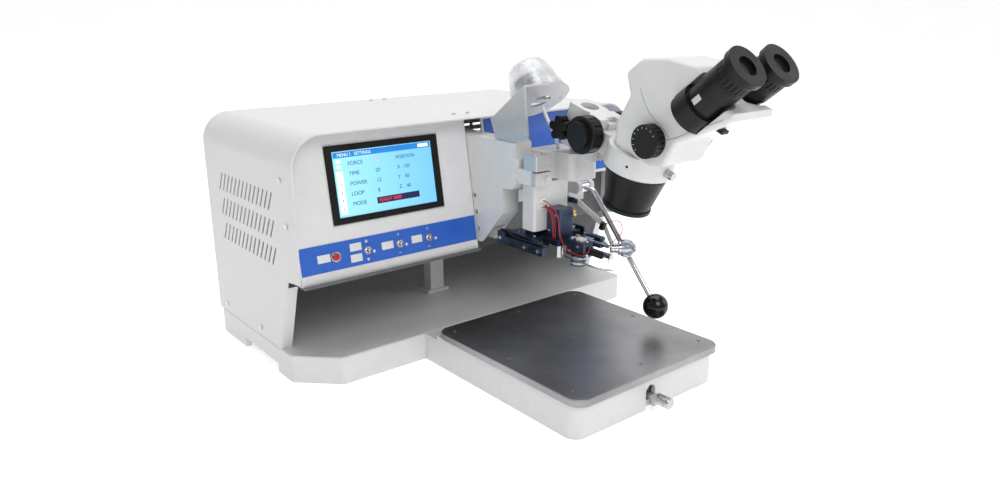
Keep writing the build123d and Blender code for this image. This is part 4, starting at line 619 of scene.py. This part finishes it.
def make_optics():
    """Lenses, and the scale of the zoom knob."""
    glass = surface("lens_glass", (0.01, 0.015, 0.04), 0.04, spread=0.3, grain_strength=0.0, coat=1.0)
    lens = [(0, 0), (0.0122, 0), (0.0122, 0.0012), (0.008, 0.0022), (0.004, 0.0026), (0, 0.0027)]
    for side, x in zip(("left", "right"), EYE_XS):
        turned(f"{side}_eye_lens", lens, eye_matrix(x, 0.0128), "black_gloss", f"{side}_ocular", glass)
    front = [(0, 0), (0.0240, 0), (0.0240, 0.0006), (0.016, 0.0018), (0.008, 0.0024), (0, 0.0026)]
    axis = Vector((0.0, sin(SCOPE_TILT), -cos(SCOPE_TILT)))
    turned("objective_lens", front, aimed(scope_point(0.0041, 0.0), axis), "black_gloss", "scope_head", glass)
    tick = rectangle(-0.0003, 0.0003, -0.0012, 0.0012)
    for step in range(9):
        turn = radians(-60 + 24 * step)
        out = Vector((0.0, sin(turn), cos(turn)))
        place = Vector((ZOOM_DIAL_X, *ZOOM_SHAFT)) + out * ZOOM_DIAL_RADIUS
        matrix = aimed(place, (-1.0, 0.0, 0.0), out.cross(Vector((1.0, 0.0, 0.0))))
        slab(f"zoom_tick_{step + 1}", tick, INK_DEPTH, matrix, "white_sheet", "zoom_drive")


def line_on_body(name, points, x, radius=0.0003):
    """Fine dark line on a flat side of the microscope body, along (y, z) points, for a seam and for the
    painted shade of a crease.
    """
    curve = smooth_curve(name, [(x, *point) for point in points], radius, 2)
    place_piece(name, curve, Matrix.Identity(4), "white_casting", "scope_head", finishes["seam_grey"])


def make_scope_trim():
    """Seams, painted crease shade, plug screws, tube tag and the switch under the lip of the microscope body.
    """
    low_seam = [(-0.2490, 0.3490), (-0.2620, 0.3525), (-0.2810, 0.3625), (-0.3080, 0.3735), (-0.3240, 0.3800)]
    # The crease lines are painted shade: a dark line where the body folds, drawn in the grey of the seams.
    crease_shade = [(-0.2050, 0.4060), (-0.2130, 0.3860), (-0.2300, 0.3700), (-0.2440, 0.3620), (-0.2520, 0.3520)]
    for side, x in (("left", 0.0219), ("right", 0.0981)):
        line_on_body(f"{side}_low_seam", low_seam, x)
        line_on_body(f"{side}_crease", crease_shade, x, 0.0002)
    rearward = scope_point(0.0, 1.0) - scope_point(0.0, 0.0)
    for number, turn in enumerate((radians(200), radians(340)), 1):
        across = Vector((cos(turn), 0.0, 0.0)) + rearward * sin(turn)
        place = scope_point(RING_PLUG_HEIGHT, 0.0) + across * RING_PLUG_RADIUS
        matrix = aimed(place, across, (0.0, 0.0, 1.0))
        disc(f"ring_plug_{number}", 0.0018, 0.0003, matrix, "black_plastic", "scope_carrier")
    switch = rectangle(-0.006, 0.006, -0.005, 0.005)
    matrix = aimed((0.040, -0.3130, 0.3674), (0.0, 0.43, -0.9), (1.0, 0.0, 0.0))
    slab("light_switch", switch, 0.0042, matrix, "black_plastic", "scope_head", edge=0.0006)
    tag = rectangle(-0.006, 0.006, -0.0035, 0.0035)
    tube = eye_matrix(EYE_XS[0], 0.060)
    matrix = tube @ Matrix.Translation((-0.0216, 0.0, 0.0)) @ Matrix.Rotation(radians(-90), 4, "Y")
    slab("tube_tag", tag, 0.0004, matrix, "cast_aluminium", "scope_head")


def make_lamp():
    """Lamp of the head: white strip with a black end, silver link and sleeve, and clear bulb."""
    run = (STRIP_END - STRIP_TOP).normalized()
    reach = (STRIP_END - STRIP_TOP).length / 2
    corners = []
    for centre, start in ((reach, -90), (-reach, 90)):
        for step in range(9):
            turn = radians(start + 180 * step / 8)
            corners.append((centre + STRIP_HALF_WIDTH * cos(turn), STRIP_HALF_WIDTH * sin(turn)))
    along = aimed((STRIP_TOP + STRIP_END) / 2, (1, 0, 0), run)
    band = slab("lamp_strip", corners, STRIP_DEPTH, along, "white_casting", "bond_head", edge=0.0004)
    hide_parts("spot_lamp")
    bracket = Matrix.Translation((0.065, -0.056, 0.228))
    foot, arm = rectangle(0.0, 0.010, 0.016, 0.026), rectangle(0.007, 0.010, 0.0, 0.017)
    slab("lamp_bracket_foot", foot, 0.008, bracket, "dark_anodised", "bond_head", edge=0.0005)
    slab("lamp_bracket_arm", arm, 0.008, bracket, "dark_anodised", "bond_head", edge=0.0005)
    screws = [(STRIP_X + STRIP_DEPTH, -0.060, 0.2300), (STRIP_X + STRIP_DEPTH, -0.098, 0.2128)]
    for number, place in enumerate(screws, 1):
        socket_screw(f"lamp_screw_{number}", aimed(place, (1, 0, 0), (0, 1, 0)), 0.0025, "bond_head")
    pad = rectangle(-0.0030, 0.0030, -0.0055, 0.0055)
    matrix = aimed((STRIP_X - 0.0035, -0.1060, 0.2090), run, (1, 0, 0))
    slab("strip_end_pad", pad, 0.0065, matrix, "black_plastic", "bond_head", edge=0.0006)
    link = (0.0735, -0.1075, 0.2078), (0.0735, -0.1255, 0.1810)
    pin("lamp_link", *link, 0.003, "cast_aluminium", "bond_head")
    lamp = aimed(LAMP_HEEL, LAMP_AIM, (0, 0, 1))
    sleeve = [(0, 0), (0.0068, 0), (0.0070, 0.0010), (0.0070, 0.004), (0.0062, 0.0045), (0.0062, 0.006)]
    sleeve += [(0.0070, 0.0065), (0.0070, 0.0100), (0.0098, 0.0110), (0.0098, 0.0140), (0, 0.0140)]
    turned("lamp_sleeve", sleeve, lamp, "chrome_screw", "bond_head")
    bulb = [(0, 0.0139), (0.0105, 0.0141), (0.0124, 0.0170), (0.0130, 0.0210), (0.0126, 0.0250)]
    bulb += [(0.0108, 0.0290), (0.0080, 0.0315), (0.0062, 0.0325), (0.0060, 0.0345), (0, 0.0349)]
    turned("lamp_bulb", bulb, lamp, "frosted_cover", "bond_head", finishes["lamp_glass"], 12)
    core = [(0, 0.0145), (0.0085, 0.0145), (0.0092, 0.0200), (0.0060, 0.0270), (0, 0.0280)]
    turned("lamp_reflector", core, lamp, "chrome_screw", "bond_head")


def make_head_trim():
    """Connectors, capsule, blocks and cap screws of the bond head."""
    top = aimed((0.0132, -0.0440, 0.2415), (0, -1, 0))
    shell = rectangle(-0.0045, 0.0045, -0.003, 0.003)
    slab("header_top", shell, 0.0035, top, "white_tube", "bond_head", edge=0.0004)
    low = aimed((0.0122, -0.0440, 0.2310), (0, -1, 0))
    shell = rectangle(-0.0040, 0.0040, -0.0026, 0.0026)
    slab("header_low", shell, 0.0028, low, "white_tube", "bond_head", edge=0.0004)
    contact = rectangle(-0.0007, 0.0007, -0.0007, 0.0007)
    for number, x in enumerate((-0.0024, 0.0, 0.0024), 1):
        hole = low @ Matrix.Translation((x, 0.0, 0.0028))
        slab(f"header_pin_{number}", contact, 0.0002, hole, "black_plastic", "bond_head")
    plug = aimed((0.0215, -0.0440, 0.2315), (0, -1, 0))
    disc("cover_plug", 0.0016, 0.0004, plug, "black_plastic", "bond_head")
    capsule = aimed((0.042, -0.1120, 0.1770), (0.008, -0.019, -0.0045))
    barrel = [(0, 0), (0.0050, 0), (0.0050, 0.0175), (0.0044, 0.0195), (0.0030, 0.0207), (0, 0.0210)]
    turned("black_capsule", barrel, capsule, "black_plastic", "bond_head")
    block = rectangle(-0.0050, 0.0050, -0.0060, 0.0060)
    matrix = Matrix.Translation((0.0405, -0.0965, 0.1889))
    slab("cream_block", block, 0.0040, matrix, "ceramic", "bond_head", edge=0.0005)
    bar = rectangle(-0.0085, 0.0085, -0.0035, 0.0035)
    matrix = Matrix.Translation((0.0405, -0.0845, 0.1889))
    slab("clamp_bar", bar, 0.0030, matrix, "turned_steel", "bond_head", edge=0.0005)
    places = [
        ((0.0345, -0.0845, 0.1919), (0, 0, 1), 0.0020),
        ((0.0465, -0.0845, 0.1919), (0, 0, 1), 0.0020),
        ((0.0405, -0.1070, 0.1890), (0, 0, 1), 0.0022),
        ((0.0620, -0.0560, 0.1940), (0, 0, 1), 0.0045),
        ((0.0540, -0.0730, 0.1890), (0, 0, 1), 0.0022),
        ((0.0700, -0.0730, 0.1890), (0, 0, 1), 0.0022),
        ((0.0040, -0.0400, 0.1890), (0, 0, 1), 0.0024),
        ((0.0040, -0.0080, 0.1890), (0, 0, 1), 0.0024),
        ((-0.0140, -0.0680, 0.1770), (-1, 0, 0), 0.0028),
        ((-0.0140, -0.0400, 0.1770), (-1, 0, 0), 0.0028),
        ((-0.0140, 0.0120, 0.1800), (-1, 0, 0), 0.0028),
        ((0.0310, -0.1000, 0.1830), (-1, 0, 0), 0.0024),
        ((0.0310, -0.0850, 0.1740), (-1, 0, 0), 0.0024),
        ((0.0350, -0.1120, 0.1720), (0, -1, 0), 0.0020),
        ((0.0460, -0.1120, 0.1720), (0, -1, 0), 0.0020),
        ((0.0220, -0.0650, 0.2220), (-1, 0, 0), 0.0020),
        ((0.0220, -0.0520, 0.1980), (-1, 0, 0), 0.0020),
    ]
    for number, (place, axis, radius) in enumerate(places, 1):
        side = (0, 1, 0) if abs(axis[0]) else (1, 0, 0)
        socket_screw(f"head_screw_{number}", aimed(place, axis, side), radius, "bond_head")
    nut = [(0, 0), (0.0040, 0), (0.0040, 0.0030), (0.0022, 0.0032), (0.0022, 0.0080), (0, 0.0080)]
    matrix = aimed((0.0752, -0.1040, 0.1815), (0, -1, 0))
    turned("adjusting_nut", nut, matrix, "turned_steel", "bond_head", sides=12)
    drum_steps = [((0.0390, -0.0930, 0.1538), 0.0085), ((0.0390, -0.0930, 0.1520), 0.0050)]
    for number, (place, radius) in enumerate(drum_steps, 1):
        disc(f"drum_step_{number}", radius, 0.0020, aimed(place, (0, 0, 1)), "turned_steel", "bond_head")
    band = [(0.01115, 0.0), (0.01135, 0.0004), (0.01135, 0.0030), (0.01115, 0.0034)]
    for number, level in enumerate((0.1560, 0.1635), 1):
        matrix = aimed((0.0395, -0.0930, level), (0, 0, 1))
        turned(f"drum_band_{number}", band, matrix, "cast_aluminium", "bond_head")


def make_loose_wires():
    """Red wire from the connector to the capsule, loop over the lamp, and black lead on the side bar."""
    red = [
        (0.0132, -0.0475, 0.2415),
        (0.0150, -0.0580, 0.2390),
        (0.0188, -0.0720, 0.2250),
        (0.0188, -0.0750, 0.1960),
        (0.0228, -0.0830, 0.1780),
        (0.0285, -0.0940, 0.1715),
        (0.0280, -0.1155, 0.1730),
        (0.0345, -0.1175, 0.1800),
        (0.0385, -0.1150, 0.1825),
        (0.0405, -0.1129, 0.1835),
    ]
    loop = [
        (0.0735, -0.1110, 0.2105),
        (0.0770, -0.1180, 0.2160),
        (0.0850, -0.1280, 0.2160),
        (0.0860, -0.1310, 0.2000),
        (0.0760, -0.1290, 0.1930),
        (0.0700, -0.1262, 0.1872),
    ]
    lead = [
        (-0.0095, 0.0170, 0.1907),
        (-0.0095, -0.0020, 0.1907),
        (-0.0095, -0.0070, 0.1847),
        (-0.0095, -0.0400, 0.1847),
        (-0.0090, -0.0700, 0.1847),
    ]
    rows = [
        ("connector_wire", red, 0.0014, "red_wire", 0.129),
        ("lamp_wire", loop, 0.0012, "red_wire", 0.0558),
        ("side_lead", lead, 0.0030, "black_rubber", 0.088),
    ]
    for name, route, diameter, slot, length in rows:
        wire = cord_curve(name, route, diameter, slot, "bond_head")


def make_floor():
    """Pale seamless floor that rises behind the machine."""
    work = bmesh.new()
    rows = []
    for step in range(BEND_STEPS + 1):
        angle = radians(90 * step / BEND_STEPS)
        rows.append((FLOOR_DEPTH + BEND_RADIUS * sin(angle), BEND_RADIUS * (1 - cos(angle))))
    outline = [(-9.0, 0.0), *rows, (9.0, 14.0)]
    turn = Matrix.Rotation(BACKDROP_TURN, 4, "Z")
    previous = None
    for forward, height in outline:
        sides = (-BACKDROP_HALF_WIDTH, BACKDROP_HALF_WIDTH)
        pair = [work.verts.new(turn @ Vector((side, forward, height))) for side in sides]
        if previous:
            work.faces.new((previous[0], previous[1], pair[1], pair[0]))
        previous = pair
    bmesh.ops.recalc_face_normals(work, faces=work.faces)
    mesh = baked("backdrop", work, smooth=True)
    floor = bpy.data.objects.new("backdrop", mesh)
    bpy.context.scene.collection.objects.link(floor)
    paper, tree, shader, place = new_material("backdrop_paper")
    cloud = noise(tree, place, 2.0, 3.0)
    tint = ramp(tree, cloud, grey(0.88), grey(0.90))
    tree.links.new(tint, shader.inputs["Base Color"])
    tree.links.new(tint, shader.inputs["Emission Color"])
    shader.inputs["Emission Strength"].default_value = 0.55
    shader.inputs["Roughness"].default_value = 0.8
    mesh.materials.append(paper)


def add_light(name, place, aim, size, power, color=(1.0, 1.0, 1.0)):
    lamp = bpy.data.lights.new(name, "AREA")
    lamp.shape = "RECTANGLE"
    lamp.size, lamp.size_y = size
    lamp.energy = power
    lamp.color = color
    holder = bpy.data.objects.new(name, lamp)
    holder.location = place
    holder.rotation_euler = (Vector(aim) - Vector(place)).to_track_quat("-Z", "Y").to_euler()
    bpy.context.scene.collection.objects.link(holder)


def make_lights():
    add_light("key", (-0.9, -2.6, 2.4), (0.0, 0.0, 0.2), (1.8, 1.8), 42.0)
    add_light("top", (0.3, 0.3, 2.8), (0.0, 0.0, 0.2), (2.6, 2.2), 42.0)
    add_light("fill", (2.4, -1.6, 1.4), (0.0, 0.0, 0.25), (1.6, 1.6), 12.0)
    world = bpy.data.worlds.new("studio")
    world.use_nodes = True
    back = world.node_tree.nodes["Background"]
    back.inputs["Color"].default_value = (1.0, 1.0, 1.0, 1.0)
    back.inputs["Strength"].default_value = 0.38
    bpy.context.scene.world = world


finishes = make_finishes()
make_camera()
make_cords()
make_loose_wires()
dress_nodes()
make_screen()
make_panel_marks()
make_optics()
make_scope_trim()
make_lamp()
make_head_trim()
make_floor()
make_lights()
